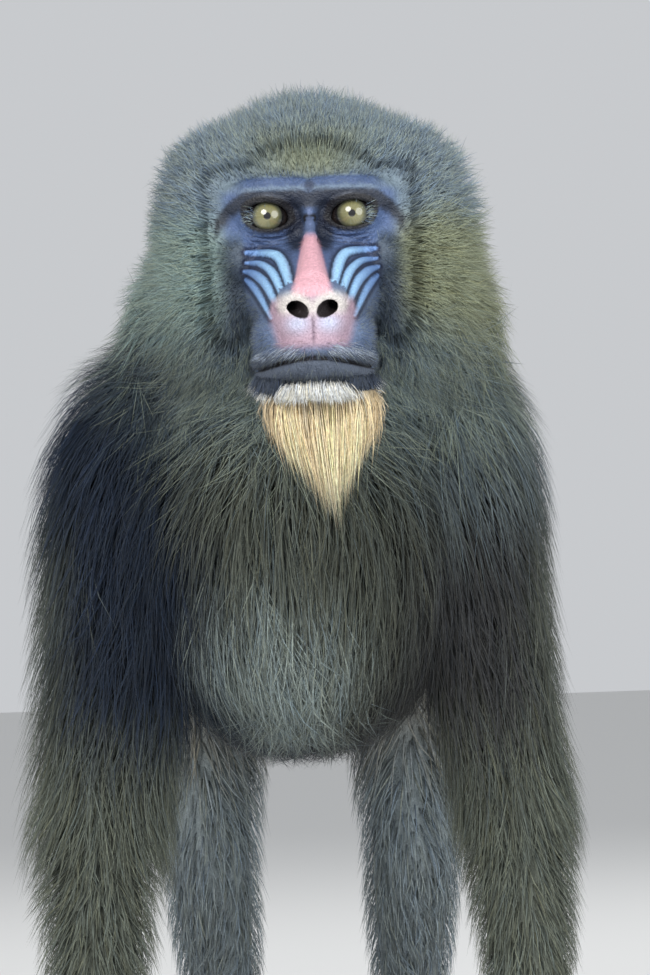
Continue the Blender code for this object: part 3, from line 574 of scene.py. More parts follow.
def surface_net(values, lines):
    """Points at the mean of each crossed cell's crossings, and the quads that join them."""
    inside = values < 0
    shape = np.array(values.shape) - 1
    total = np.zeros((*shape, 3), np.float32)
    count = np.zeros(tuple(shape), np.int16)
    ends = [slice(0, -1), slice(1, None)]
    for axis in range(3):
        others = [i for i in range(3) if i != axis]
        for i, j in ((0, 0), (0, 1), (1, 0), (1, 1)):
            here, there = [None] * 3, [None] * 3
            here[axis], there[axis] = ends
            here[others[0]] = there[others[0]] = ends[i]
            here[others[1]] = there[others[1]] = ends[j]
            a, b = values[tuple(here)], values[tuple(there)]
            crossed = (a < 0) != (b < 0)
            add = np.zeros((crossed.sum(), 3), np.float32)
            add[:, axis] = a[crossed] / (a[crossed] - b[crossed])
            add[:, others[0]], add[:, others[1]] = i, j
            total[crossed] += add
            count[crossed] += 1
    used = count > 0
    number = np.full(tuple(shape), -1, np.int64)
    number[used] = np.arange(used.sum())
    cell = np.argwhere(used)
    share = total[used] / count[used][:, None]
    points = np.stack([
        lines[i][cell[:, i]] * (1 - share[:, i]) + lines[i][cell[:, i] + 1] * share[:, i]
        for i in range(3)
    ], axis=1)
    quads = []
    for axis in range(3):
        u, v = (axis + 1) % 3, (axis + 2) % 3
        lead, follow = [slice(None)] * 3, [slice(None)] * 3
        lead[axis], follow[axis] = ends
        spots = np.argwhere(inside[tuple(lead)] != inside[tuple(follow)])
        spots = spots[(spots[:, u] > 0) & (spots[:, v] > 0)]
        spots = spots[(spots[:, u] < shape[u]) & (spots[:, v] < shape[v])]
        step_u, step_v = np.eye(3, dtype=int)[u], np.eye(3, dtype=int)[v]
        ring = [spots - step_u - step_v, spots - step_v, spots, spots - step_u]
        face = np.stack([number[tuple(r.T)] for r in ring], axis=1)
        outward = inside[tuple(spots.T)]
        face[~outward] = face[~outward][:, ::-1]
        quads.append(face)
    return points, np.vstack(quads)


skin_points, skin_quads = surface_net(grid_distances(LINES, BARE, CUTS), LINES)
print("skin:", len(skin_points), "points and", len(skin_quads), "quads")

# %% [markdown]
# ## Which way the skin faces
# Wrinkles are raised and pressed along the skin's normal, and the tufts need it too. Each
# point's normal is the sum of the cross products of the quads around it.

# %% Normals and neighbours


def point_normals(points, quads):
    """Unit sums of each quad's (c - a) x (d - b) at its four corners."""
    a, b, c, d = (points[quads[:, i]] for i in range(4))
    facing = np.cross(c - a, d - b)
    total = np.zeros_like(points)
    for i in range(4):
        for axis in range(3):
            total[:, axis] += np.bincount(quads[:, i], facing[:, axis], len(points))
    return unit(total)


def evened(points, quads, rounds):
    """Moves each point half way to the mean of its quads' middles, and back by less, so
    that steps of the grid go and the volume stays."""
    count = np.bincount(quads.ravel(), minlength=len(points))[:, None]
    for turn in range(rounds):
        middle = points[quads].mean(axis=1)
        total = np.zeros_like(points)
        for i in range(4):
            for axis in range(3):
                total[:, axis] += np.bincount(quads[:, i], middle[:, axis], len(points))
        points = points + (0.5 if turn % 2 == 0 else -0.47) * (total / count - points)
    return points


skin_points = evened(skin_points, skin_quads, 4)
skin_normals = point_normals(skin_points, skin_quads)
print("normals of length", np.linalg.norm(skin_normals, axis=1).min())

# %% [markdown]
# ## Folds of the face
# Up close the lids have a crease above them and three or four wrinkles below, the nose
# ridge is ribbed across, and thin grooves run along the swollen ridges. They are waves in
# the distance from an eye or from a ridge, pressed into the skin by less than a millimetre.

# %% Wrinkles


def from_eyes(at):
    """Millimetres across, back and up from the point between the eyes."""
    return ((at - EYE_LEVEL) * 1000).T


def folds(at):
    """Depth in millimetres: rings about each eye, cross ribs on the nose and the brow."""
    x, y, z = from_eyes(at)
    side = np.abs(x)
    out = side - EYE_SPREAD * 1000
    ring = np.hypot(out * 0.78, z * 1.0)
    front = ramp(25, 12, y)
    below = ramp(-3, -8, z) * ramp(22, 17, ring) * ramp(9.0, 10.5, ring) * ramp(16, 10, out)
    under = 0.33 * np.sin((ring + 0.10 * out) * 2 * math.pi / 2.9) * below
    crease = -0.55 * np.exp(-((ring - 10.4) / 0.8) ** 2) * ramp(-1, 3, z) * ramp(14, 9, out)
    nose = ramp(4.5, 2.5, side) * ramp(-36, -30, z) * ramp(8, 2, z) * 0.10
    ribs = nose * np.sin(z * 2 * math.pi / 2.3 + 0.6 * np.sin(x))
    brow = 0.22 * np.sin(side * 0.9 + 0.5 * np.sin(z)) * ramp(9, 11, z) * ramp(20, 16, z)
    return (under + crease + ribs + brow * ramp(44, 36, side)) * front


gap = stripe_gap(skin_points)
swell = ramp(0.5, -1.4, gap) * 1.1 - 0.55 * np.exp(-((gap - 0.5) / 0.4) ** 2)
swell *= ramp(13, 4, from_eyes(skin_points)[1])
skin_points = skin_points + skin_normals * ((folds(skin_points) + swell) / 1000)[:, None]
skin_points[:, 2] = np.maximum(skin_points[:, 2], 0.0004 - SHIFT[2])
skin_normals = point_normals(skin_points, skin_quads)
print("ridges from", round(float(swell.min()), 2), "to", round(float(swell.max()), 2), "mm")

# %% [markdown]
# ## Markings
# A mandrill is known by its colours: sky-blue ridges, a pink nose that starts as a narrow
# blue stripe, a blue-violet brow over a dark band, a white chin above a yellow-orange
# beard, olive cheeks, a dark mantle and a pale patch on the chest. Painted highlights lie
# along the brow ridge and below the nostrils, painted light partly brightens the outer sides
# of the shoulders and arms, and painted shade darkens the hollows beside the nose ridge,
# the insides of the nostrils and the slit of the mouth. The skin and the coat ask the same
# function, so a gap between tufts never shows a wrong colour.

# %% Colours as a painter names them
SKY = (0.400, 0.690, 0.960)
SKY_DEEP = (0.150, 0.270, 0.560)
FURROW = (0.010, 0.016, 0.045)
BLUE_VIOLET = (0.085, 0.135, 0.270)
# Painted highlight: the blue band along the top of the brow ridge.
BROW_BLUE_HIGHLIGHT = (0.060, 0.098, 0.200)
BROW_BLACK = (0.020, 0.023, 0.032)
MUZZLE_GREY = (0.095, 0.140, 0.240)
CHEEK_SLATE = (0.070, 0.095, 0.130)
NOSE_BLUE = (0.120, 0.165, 0.300)
PINK = (0.760, 0.410, 0.470)
MAUVE = (0.440, 0.300, 0.370)
CREAM = (0.680, 0.640, 0.600)
# Painted highlight: the lilac-white patch below each nostril.
LILAC_HIGHLIGHT = (0.560, 0.600, 0.780)
LID_BLACK = (0.010, 0.010, 0.013)
LID_CREASE = (0.170, 0.190, 0.240)
# Painted shade: the near-black hollow between each eye and the nose ridge.
HOLLOW_SHADE = (0.012, 0.018, 0.036)
LIP_GREY = (0.075, 0.095, 0.135)
WHITE_HAIR = (0.800, 0.800, 0.760)
BEARD = (0.950, 0.740, 0.430)
BEARD_PALE = (0.950, 0.920, 0.780)
CROWN = (0.190, 0.255, 0.315)
OLIVE_BROWN = (0.205, 0.230, 0.165)
TEMPLE = (0.200, 0.260, 0.310)
CHEEK_OLIVE = (0.260, 0.355, 0.340)
CHEEK_BROWN = (0.250, 0.270, 0.170)
RUFF_LOW = (0.165, 0.215, 0.225)
OCHRE = (0.270, 0.180, 0.085)
NAPE = (0.075, 0.085, 0.080)
MANTLE_NAVY = (0.016, 0.027, 0.050)
MANTLE_BROWN = (0.048, 0.050, 0.052)
CHEST_OLIVE = (0.090, 0.100, 0.080)
CHEST_PALE = (0.330, 0.390, 0.370)
CHEST_GREY = (0.120, 0.148, 0.155)
ARM_OLIVE = (0.150, 0.168, 0.135)
BACK_OLIVE = (0.070, 0.072, 0.048)
BELLY_GREY = (0.230, 0.230, 0.205)
LEG_GREY = (0.250, 0.295, 0.310)
RUMP_VIOLET = (0.300, 0.190, 0.300)
RUMP_RED = (0.420, 0.110, 0.110)
PAW_DARK = (0.024, 0.024, 0.027)


def mixed(tint, colour, share):
    """tint + (colour - tint) * share, row by row."""
    return tint + (np.array(colour) - tint) * np.clip(share, 0, 1)[:, None]


def spot(at, centre, radii, soft=0.35):
    """1 inside an ellipsoid about a place and 0 outside, soft by a share of its size."""
    size = np.linalg.norm((at - np.array(centre)) / np.array(radii), axis=1)
    return ramp(1 + soft, 1 - soft, size)


def nearest(at, masses, reach=0.006):
    """Millimetres to the nearest of a few masses, and 9 where none is near."""
    gap = np.full(len(at), 9.0)
    for mass in masses:
        near = np.all((at > mass.low - reach) & (at < mass.high + reach), axis=1)
        gap[near] = np.minimum(gap[near], mass.distance(at[near]) * 1000)
    return gap


def body_tint(at):
    """The coat's colour on the trunk and limbs, with some painted light on the outer arms."""
    x, y, z = at.T
    left = ramp(-0.05, 0.045, x)
    tint = np.tile(np.array(BACK_OLIVE), (len(at), 1))
    tint = mixed(tint, BELLY_GREY, ramp(0.320, 0.285, z) * ramp(-0.03, 0.02, y))
    front = ramp(0.0, -0.07, y)
    mantle = np.array(MANTLE_NAVY) + np.outer(left, np.subtract(MANTLE_BROWN, MANTLE_NAVY))
    tint = tint + (mantle - tint) * (front * ramp(0.215, 0.250, z))[:, None]
    middle = ramp(0.056, 0.022, np.abs(x - 0.006)) * ramp(-0.135, -0.165, y)
    tint = mixed(tint, CHEST_OLIVE, middle * ramp(0.47, 0.42, z))
    tint = mixed(tint, CHEST_GREY, spot(at, (0.074, -0.19, 0.415), (0.038, 0.09, 0.034), 0.6))
    tint = mixed(tint, CHEST_PALE, spot(at, (-0.010, -0.185, 0.308), (0.036, 0.08, 0.044), 0.5))
    limbs = ramp(0.310, 0.262, z) * ramp(0.050, 0.066, np.abs(x))
    tint = mixed(tint, ARM_OLIVE, limbs * ramp(0.02, 0, y))
    # Outer sides of the shoulders and arms: the olive of their banded hair, and partly painted
    # light from above and behind.
    outer = ramp(0.086, 0.108, np.abs(x)) * ramp(0.43, 0.36, z) * ramp(0.02, -0.03, y)
    tint = mixed(tint, ARM_OLIVE, outer * 0.75)
    tint = mixed(tint, LEG_GREY, ramp(0.260, 0.220, z) * ramp(0, 0.05, y))
    seat = spot(at, (0, 0.262, 0.330), (0.046, 0.030, 0.040), 0.2)
    tint = mixed(tint, RUMP_VIOLET, seat)
    tint = mixed(tint, RUMP_RED, spot(at, (0, 0.262, 0.326), (0.010, 0.03, 0.034), 0.4))
    return mixed(tint, PAW_DARK, ramp(0.068, 0.050, z))


def head_tint(at):
    """The hair of the crown, temples, cheeks and nape."""
    x, y, z = from_eyes(at)
    tint = np.tile(np.array(CROWN), (len(at), 1))
    tint = mixed(tint, OLIVE_BROWN, ramp(38, 4, np.abs(x)) * ramp(14, 22, z) * ramp(38, 27, z))
    tint = mixed(tint, TEMPLE, ramp(26, 40, np.abs(x)) * ramp(-2, 12, z) * ramp(40, 22, z))
    cheek = ramp(6, -12, z) * ramp(14, 30, np.abs(x))
    right = ramp(-10, 30, x)
    tint = mixed(tint, CHEEK_OLIVE, cheek * (1 - right))
    tint = mixed(tint, CHEEK_BROWN, cheek * right)
    tint = mixed(tint, RUFF_LOW, ramp(-36, -56, z))
    tint = mixed(tint, MANTLE_NAVY, ramp(-34, -52, z) * ramp(-44, -62, x) * 0.8)
    tint = mixed(tint, NAPE, ramp(70, 100, y))
    ochre = np.hypot((np.abs(x - 2) - 32) / 14, (z + 88) / 20)
    return mixed(tint, OCHRE, ramp(1.3, 0.5, ochre) * ramp(30, 0, y) * 0.8)


def face_tint(at, own):
    """The bare face, worked over the hair's colour from the back of the face forward."""
    x, y, z = from_eyes(at)
    side = np.abs(x)
    tint = mixed(own, CHEEK_SLATE, ramp(26, 14, y) * ramp(0, -12, z) * ramp(46, 36, side))
    tint = mixed(tint, MUZZLE_GREY, ramp(14, 2, y) * ramp(-20, -34, z) * ramp(38, 28, side))
    lowest = -34 + 20 * ramp(24, 33, side)
    eyes = ramp(lowest, lowest + 9, z) * ramp(14, 9, z) * ramp(44, 36, side) * ramp(24, 14, y)
    tint = mixed(tint, BLUE_VIOLET, eyes)
    front = ramp(22, 12, y)
    arch = z + 13 * np.clip((side - 27) / 17, 0, 1.2) ** 2 + 1.2 * ramp(4, 0, side)
    dark = ramp(1.5, 5.0, arch) * ramp(12.5, 10.5, arch) * ramp(47, 43, side) * front
    tint = mixed(tint, BROW_BLACK, dark * 0.92)
    # Painted highlight: a blue band along the top of the brow ridge.
    band = ramp(12.2, 13.8, arch) * ramp(18.6, 16.8, arch) * ramp(41, 27, side) * front
    tint = mixed(tint, BROW_BLUE_HIGHLIGHT, band)
    crease = np.hypot(side - 19.5, z) - 9.2
    tint = mixed(tint, LID_CREASE, np.exp(-(crease / 0.45) ** 2) * ramp(-3, 2, z) * front * 0.8)
    sag = -z - 8.2 + 0.012 * (side - 19) ** 2
    line = ramp(0.1, 0.8, np.cos(2 * math.pi * sag / 1.75)) * ramp(-1.0, 0.2, sag)
    line *= ramp(7.2, 5.6, sag) * ramp(7, 10, side) * ramp(31, 26, side) * front
    tint = mixed(tint, FURROW, line * 0.75)
    tint = mixed(tint, LID_BLACK, spot(at, EYE_LEVEL + (0.0005, -0.001, 0.0132),
                                       (0.0028, 0.01, 0.0026)) * 0.6)
    # Painted shade: near black in the hollow between each eye and the nose ridge.
    beside = spot(at * (0, 1, 1) + np.outer(np.abs(at[:, 0] - EYE_LEVEL[0]), (1, 0, 0)),
                  (0.0066, EYE_LEVEL[1], EYE_LEVEL[2] - 0.007), (0.0044, 0.02, 0.017))
    tint = mixed(tint, HOLLOW_SHADE, beside * 0.95)
    gap = stripe_gap(at)
    ahead = ramp(13, 5, y)
    tint = mixed(tint, FURROW, ramp(2.4, 0.8, gap) * ahead * 0.9)
    inner = ramp(31, 13, side) * (0.65 + 0.35 * ramp(-0.4, -1.6, gap))
    paler = np.array(SKY_DEEP) + np.outer(inner, np.subtract(SKY, SKY_DEEP))
    tint = tint + (paler - tint) * (ramp(0.30, -0.30, gap) * ahead)[:, None]
    wide = np.interp(-z, (-4, 0, 8, 12, 18, 28, 35, 40), (0.7, 1.2, 2.2, 3.5, 4.8, 6.8, 8.2, 9.5))
    strip = ramp(0.8, -0.6, side - wide) * front * ramp(-43, -38, z) * ramp(4.5, 2, z)
    along = ramp(-8.0, -12.5, z)
    nose = np.array(NOSE_BLUE) + np.outer(along, np.subtract(PINK, NOSE_BLUE))
    tint = tint + (nose - tint) * strip[:, None]
    snout = ramp(-50, -58, y) * ramp(-65, -60, z) * ramp(20, 15, side - 0.25 * (z + 54))
    tint = mixed(tint, MAUVE, snout * ramp(-38, -43, z))
    # Painted highlight: a lilac-white patch below each nostril.
    below = np.exp(-((side - 7) / 5.5) ** 2 - ((z + 52) / 4.0) ** 2)
    tint = mixed(tint, LILAC_HIGHLIGHT, snout * below * 0.9)
    nostril = nearest(at, NOSTRILS)
    rim = ramp(5.2, 1.5, nostril) * ramp(-50, -58, y) * ramp(-50, -45, z)
    tint = mixed(tint, CREAM, rim * 0.9)
    cleft = np.exp(-((x / 0.6) ** 2)) * ramp(-47, -50, z) * ramp(-64, -60, z) * ramp(-60, -66, y)
    tint = mixed(tint, (0.090, 0.060, 0.090), cleft * 0.7)
    # Painted shade: the walls inside the nostrils darkened nearly to black.
    tint = mixed(tint, (0.020, 0.014, 0.016), ramp(0.45, 0.05, nostril))
    lips = ramp(-63, -67, z) * ramp(-82, -79, z) * ramp(-20, -30, y)
    tint = mixed(tint, LIP_GREY, lips)
    # Painted shade: the slit of the mouth darkened nearly to black.
    mouth = nearest(at, MOUTHS)
    tint = mixed(tint, (0.015, 0.013, 0.016), ramp(0.9, 0.1, mouth))
    lid = nearest(at, OPENINGS)
    upper = 0.9 * ramp(0, 5, z)
    tint = mixed(tint, LID_BLACK, ramp(2.8 + upper, 1.7 + upper, lid) * ramp(16, 10, y))
    chin = ramp(-79, -81.5, z) * ramp(22, 17, side) * ramp(-30, -42, y)
    return mixed(tint, WHITE_HAIR, chin)


NECK_AT, NECK_ALONG = np.array((0.0, -0.158, 0.436)), unit(np.array((0.0, -0.62, 0.785)))


def on_head(at):
    """1 ahead of the neck and 0 behind it."""
    return ramp(-0.012, 0.012, (at - NECK_AT) @ NECK_ALONG)


def markings(at):
    """The colour at each place, for skin and coat alike."""
    share = on_head(at)
    tint = body_tint(at)
    ahead = share > 0
    head = face_tint(at[ahead], head_tint(at[ahead]))
    tint[ahead] += (head - tint[ahead]) * share[ahead, None]
    return np.clip(tint, 0.004, 0.95)


skin_tint = markings(skin_points)
print("mean skin colour", np.round(skin_tint.mean(axis=0), 3))

# %% [markdown]
# ## Putting arrays into a mesh
# Blender takes whole arrays at once, which is far quicker than adding points one by one.
# Every piece is moved from the drawing to the frame here, and carries its colours as an
# attribute that its material reads.

# %% From arrays to an object


def put(name, points, faces, tint=None, smooth=True):
    """An object in the frame from points and equal-sided faces, with colours by point."""
    sides = faces.shape[1]
    mesh = bpy.data.meshes.new(name)
    mesh.vertices.add(len(points))
    mesh.vertices.foreach_set("co", (points + SHIFT).astype(np.float32).ravel())
    mesh.loops.add(faces.size)
    mesh.loops.foreach_set("vertex_index", faces.astype(np.int32).ravel())
    mesh.polygons.add(len(faces))
    mesh.polygons.foreach_set("loop_start", np.arange(0, faces.size, sides, dtype=np.int32))
    mesh.polygons.foreach_set("use_smooth", np.full(len(faces), smooth))
    mesh.update(calc_edges=True)
    if tint is not None:
        colour = mesh.color_attributes.new("tint", "FLOAT_COLOR", "POINT")
        rows = np.hstack((tint, np.ones((len(tint), 1)))).astype(np.float32)
        colour.data.foreach_set("color", rows.ravel())
    made = bpy.data.objects.new(name, mesh)
    bpy.context.scene.collection.objects.link(made)
    return made


skin = put("skin", skin_points, skin_quads, skin_tint)
print("skin faces:", len(skin.data.polygons))

# %% [markdown]
# The flat parts of the trunk don't need so many faces under the coat. A Decimate modifier
# merges edges where that changes the form least, so it works on the trunk and leaves the
# folds of the face.

# %% Fewer faces where it is flat
thin = skin.modifiers.new("fewer faces", "DECIMATE")
thin.ratio = min(1.0, 92000 / len(skin.data.polygons))
graph = bpy.context.evaluated_depsgraph_get()
lighter = bpy.data.meshes.new_from_object(skin.evaluated_get(graph))
skin.modifiers.clear()
skin.data = lighter
skin.data.polygons.foreach_set("use_smooth", np.ones(len(lighter.polygons), bool))
print("skin triangles:", sum(len(p.vertices) - 2 for p in skin.data.polygons))

# %% [markdown]
# ## What guides the coat
# Each tuft starts on the skin and has to reach the outline of the coat without crossing
# the body. So the distance to the coated outline is worked out once on a coarse grid. Its
# value at a root is the depth of the coat there, and its slope tells a tuft which way is
# out as it is combed along.

# %% The coated outline
STEP = 0.005
BOX_LOW = np.array((-0.175, -0.345, -0.02))
GRID = (np.array((0.175, 0.345, 0.60)) - BOX_LOW) / STEP // BLOCK * BLOCK + BLOCK
outline_lines = [BOX_LOW[i] + STEP * np.arange(int(GRID[i])) for i in range(3)]
outline_grid = grid_distances(outline_lines, COATED, beyond=0.03)
outline_grid = np.where(np.abs(outline_grid) == 1, outline_grid * 0.06, outline_grid)


def outline(at):
    """Distance and slope at points, from the eight grid values round each: the sum of
    value times the product of (share) or (1 - share) along the three axes."""
    spot = np.clip((at - BOX_LOW) / STEP, 0, np.array(outline_grid.shape) - 1.001)
    cell = spot.astype(int)
    s = spot - cell
    value, slope = np.zeros(len(at)), np.zeros((len(at), 3))
    for corner in np.ndindex(2, 2, 2):
        here = outline_grid[tuple((cell + corner).T)]
        parts = [s[:, i] if corner[i] else 1 - s[:, i] for i in range(3)]
        value += here * parts[0] * parts[1] * parts[2]
        for i in range(3):
            j, k = (i + 1) % 3, (i + 2) % 3
            slope[:, i] += here * parts[j] * parts[k] * (1 if corner[i] else -1)
    return value, slope / STEP


print("outline grid:", outline_grid.shape)

# %% [markdown]
# ## The lie of the coat
# Hair fans out from the face: up and back over the crown, out and back over the cheeks,
# down from the chin. On the shoulders it falls like a cape, on the back it lies to the
# tail, and on the limbs it runs down and a little back. These are directions in space,
# and each tuft follows their part along the skin.

# %% Lie and length


def head_lie(at):
    """Away from the face's middle line, back, and down where it is low."""
    x, y, z = from_eyes(at)
    away = unit(np.stack((x, 0 * x, z + 25), axis=1))
    away *= (1 + 1.1 * ramp(1.7, 1.0, np.hypot(x / 44, (z + 22) / 46)))[:, None]
    low = ramp(-10, 60, -z)
    throat = ramp(50, 80, -z) * ramp(-45, -20, -np.abs(x))
    lie = away * 0.62 + np.outer(0.95 - 0.35 * low, (0, 1, 0)) + np.outer(low, (0, 0, -0.55))
    snout = ramp(6, -8, y)
    lie += (np.stack((0.35 * np.sign(x), 1 + 0 * x, -0.15 + 0 * x), 1) - lie) * snout[:, None]
    return lie * (1 - throat)[:, None] + np.outer(throat, (0, -0.05, -1))


def body_lie(at):
    """Down at the shoulders and chest, back and down on the trunk, down the limbs."""
    x, y, z = at.T
    side = np.sign(x)
    one = np.ones_like(x)
    lie = np.stack((0.20 * side, 0.10 * one, -one), axis=1)
    chest = ramp(-0.12, -0.17, y) * ramp(0.07, 0.02, np.abs(x))
    lie[:, 0] *= 1 - chest
    rear = np.stack((0.05 * side, one, -0.42 * one), axis=1)
    lie += (rear - lie) * ramp(-0.09, 0.03, y)[:, None]
    rump = np.stack((0.1 * side, 0.30 * one, -one), axis=1)
    lie += (rump - lie) * ramp(0.17, 0.26, y)[:, None]
    limbs = np.stack((0.10 * side, 0.22 * one, -one), axis=1)
    lie += (limbs - lie) * ramp(0.275, 0.225, z)[:, None]
    paws_front = np.stack((0 * one, -one, -0.25 * one), axis=1)
    lie += (paws_front - lie) * ramp(0.055, 0.040, z)[:, None]
    tail = ramp(0.245, 0.262, y) * ramp(0.365, 0.385, z)
    return lie + (np.stack((0 * one, 0.6 * one, one), 1) - lie) * tail[:, None]


def lie_of(at):
    share = on_head(at)[:, None]
    return body_lie(at) * (1 - share) + head_lie(at) * share


def short_fur(x, y, z):
    """1 where the hair is as short as velvet: the muzzle, the brow and round the eyes."""
    brow = ramp(24, 12, y) * ramp(50, 42, np.abs(x)) * ramp(24, 17, z)
    return np.maximum(brow, ramp(14, 4, y))


def length_of(at):
    """Millimetres: long on the mantle, ruff and chest, short on limbs, face and paws."""
    x, y, z = from_eyes(at)
    height = at[:, 2]
    body = 62 - 22 * ramp(-0.08, 0.06, at[:, 1]) - 12 * ramp(0.15, 0.25, at[:, 1])
    limbs = ramp(0.265, 0.205, height)
    body = body + (26 - body) * limbs
    body = body + (8 - body) * ramp(0.150, 0.062, height)
    body = body + (5 - body) * ramp(0.062, 0.050, height)
    body = body + (14 - body) * (ramp(0.245, 0.262, at[:, 1]) * ramp(0.365, 0.385, height))
    off = np.hypot(x / 44, (z + 22) / 46)
    head = 8 + 24 * ramp(1.0, 1.75, off) * ramp(24, -4, z) + 12 * ramp(18, 75, y)
    head = head + 22 * ramp(-18, -50, z) * ramp(1.2, 1.7, off)
    head = head + (4.0 - head) * short_fur(x, y, z)
    share = on_head(at)
    return (body * (1 - share) + head * share) / 1000


print("hair on the mantle:", length_of(np.array(((0.08, -0.13, 0.36),))) * 1000, "mm")

# %% [markdown]
# ## Where hair grows
# Roots are scattered over the skin by area. Bare places have none: the eyes' surroundings,
# the ridges, the nose, the lips, the palms, the soles and the seat. The muzzle's sides,
# the brow and the chin have short hair, so they get small tufts set close.

# %% Scattering roots
corners = np.empty(len(skin.data.polygons) * 3, np.int32)
skin.data.calc_loop_triangles()
corners = np.empty(len(skin.data.loop_triangles) * 3, np.int32)
skin.data.loop_triangles.foreach_get("vertices", corners)
flat = np.empty(len(skin.data.vertices) * 3)
skin.data.vertices.foreach_get("co", flat)
skin_at = flat.reshape(-1, 3) - SHIFT
triangles = skin_at[corners.reshape(-1, 3)]
crossed = np.cross(triangles[:, 1] - triangles[:, 0], triangles[:, 2] - triangles[:, 0])
areas = np.linalg.norm(crossed, axis=1) / 2
print("skin area:", round(areas.sum() * 1e4), "square centimetres")


def scatter(count, where, chance):
    """Even roots: places along the running sum of area times a density at each triangle."""
    middles = triangles.mean(axis=1)
    weight = areas * where(middles)
    run = np.cumsum(weight)
    aim = (np.arange(count) + chance.random(count)) * run[-1] / count
    pick = np.minimum(np.searchsorted(run, aim), len(run) - 1)
    u, v = chance.random((2, count, 1))
    over = u + v > 1
    u, v = np.where(over, 1 - u, u), np.where(over, 1 - v, v)
    a, b, c = triangles[pick].transpose(1, 0, 2)
    return a + (b - a) * u + (c - a) * v, unit(crossed[pick])


def bare(at):
    """1 where no hair grows."""
    x, y, z = from_eyes(at)
    side = np.abs(x)
    lowest = -32 + 18 * ramp(24, 33, side)
    skinny = ramp(27, 17, y) * ramp(46, 38, side) * ramp(lowest, lowest + 6, z) * ramp(19, 14, z)
    ridged = ramp(3.0, 1.5, stripe_gap(at)) * ramp(12, 6, y)
    wide = np.interp(-z, (0, 10, 34, 44, 60), (5, 7, 12, 18, 17))
    strip = ramp(wide + 2, wide, side) * ramp(25, 12, y) * ramp(-63, -59, z) * ramp(16, 11, z)
    mouth = ramp(1.6, 0.7, nearest(at, MOUTHS))
    face = np.maximum.reduce((skinny, ridged, strip, mouth)) * on_head(at)
    sole = ramp(0.0085, 0.0065, at[:, 2]) + spot(at, (0, 0.262, 0.330), (0.044, 0.030, 0.038), 0.15)
    digits = ramp(0.034, 0.030, at[:, 2]) * ramp(-0.160, -0.166, at[:, 1])
    toes = ramp(0.030, 0.026, at[:, 2]) * ramp(0.168, 0.160, at[:, 1]) * ramp(0.05, 0.09, at[:, 1])
    return np.clip(face + sole + digits + toes, 0, 1)


print("bare between the eyes:", bare(EYE_LEVEL[None] + (0, 0.002, 0.004)))

# %% [markdown]
# ## Combing a tuft
# A tuft is a thin three-sided blade with a few bends and one tip. It starts a little under
# the skin and steps along the lie. After each step it is set to its own height between the
# skin and the outline, so it hugs every curve of the body. Neighbours share slow waves of
# direction and length, which gather the coat into locks.

# %% Combing
SINK = 0.0012


def waves(at, size, seed):
    """Three sine waves of position, each of wavelength size in its own seeded direction."""
    turn = unit(np.random.default_rng(seed).normal(0, 1, (3, 3))) * 2 * math.pi / size
    return np.stack([np.sin(at @ turn[i] + 1.7 * i) for i in range(3)], axis=1)


def combed(roots, outs, lengths, depths, lift, spread, steps, chance):
    """Centre lines (n, steps + 1, 3) and the outward direction at each of their points.
    The height above the skin at share s of the length is depth * lift * s^0.7 + 1.4 mm * s,
    so that hair shows where the outline lies on the skin, as on the face."""
    lock = waves(roots, 0.017, 3) * 0.15 + waves(roots, 0.006, 4) * 0.08
    stray = chance.normal(0, spread, roots.shape)
    here, out = roots.copy(), outs.copy()
    line, facing = [roots - outs * SINK], [outs]
    for k in range(1, steps + 1):
        share = k / steps
        way = unit(lie_of(here)) + lock + stray * (0.4 + share)
        way = unit(way - out * np.sum(way * out, axis=1)[:, None])
        here = here + way * (lengths / steps)[:, None]
        value, slope = outline(here)
        out = unit(unit(slope) * 0.8 + out * 0.4)
        want = 0.0014 * share - depths * (1 - lift * share**0.7)
        here = here + out * np.clip(want - value, -0.006, 0.018)[:, None]
        line.append(here)
        facing.append(out)
    return np.stack(line, axis=1), np.stack(facing, axis=1)


def blades(line, facing, widths, shape):
    """Points and triangles of closed blades. A ring's corners are the line's point, minus
    and plus the side times the width times its shape, and plus the up by 0.45 of that."""
    n, rings = line.shape[0], line.shape[1] - 1
    along = np.gradient(line, axis=1)
    side = unit(np.cross(along, facing))
    up = unit(np.cross(side, along))
    wide = widths[:, None, None] * np.array(shape)[None, :, None]
    middle, side, up = line[:, :-1], side[:, :-1] * wide, up[:, :-1] * wide * 0.45
    body = np.stack((middle - side, middle + side, middle + up), axis=2)
    points = np.concatenate((body.reshape(n, rings * 3, 3), line[:, -1:]), axis=1)
    faces = [(0, 1, 2)]
    for k in range(rings):
        for i in range(3):
            a, b = 3 * k + i, 3 * k + (i + 1) % 3
            faces += [(a, b + 3, b), (a, a + 3, b + 3)] if k < rings - 1 else [(b, a, 3 * rings)]
    stride = 3 * rings + 1
    triangles = np.array(faces)[None] + (np.arange(n) * stride)[:, None, None]
    return points.reshape(-1, 3), triangles.reshape(-1, 3)


def unwrap(at, axis, middle):
    """u along an axis of the body and v the angle round it, both from 0.02 to 0.97."""
    across, over = [i for i in range(3) if i != axis]
    around = np.arctan2(at[:, over] - middle[1], at[:, across] - middle[0])
    run = (at[:, axis] - at[:, axis].min()) / max(np.ptp(at[:, axis]), 1e-6)
    return np.stack((run, around / (2 * math.pi) + 0.5), axis=1) * 0.95 + 0.02


# %% [markdown]
# ## Ticked hair
# Each hair of a mandrill is banded, dark at the root, then pale or yellow, then dark again,
# which gives the coat its grizzled look. A tuft stands for many hairs. It takes the marking
# at its root, gets darker towards the skin, partly as the hair's dark root band and partly as
# painted shade deep in the coat, and its tip is paler or darker by chance. Each tuft also
# has its own small patch on a colour map, for bakers that need one.

# %% Tufts to a finished piece
TUFT_PATCH = 0.003
TAPER = {1: (1.0,), 2: (1.0, 0.8), 3: (1.0, 0.95, 0.6)}
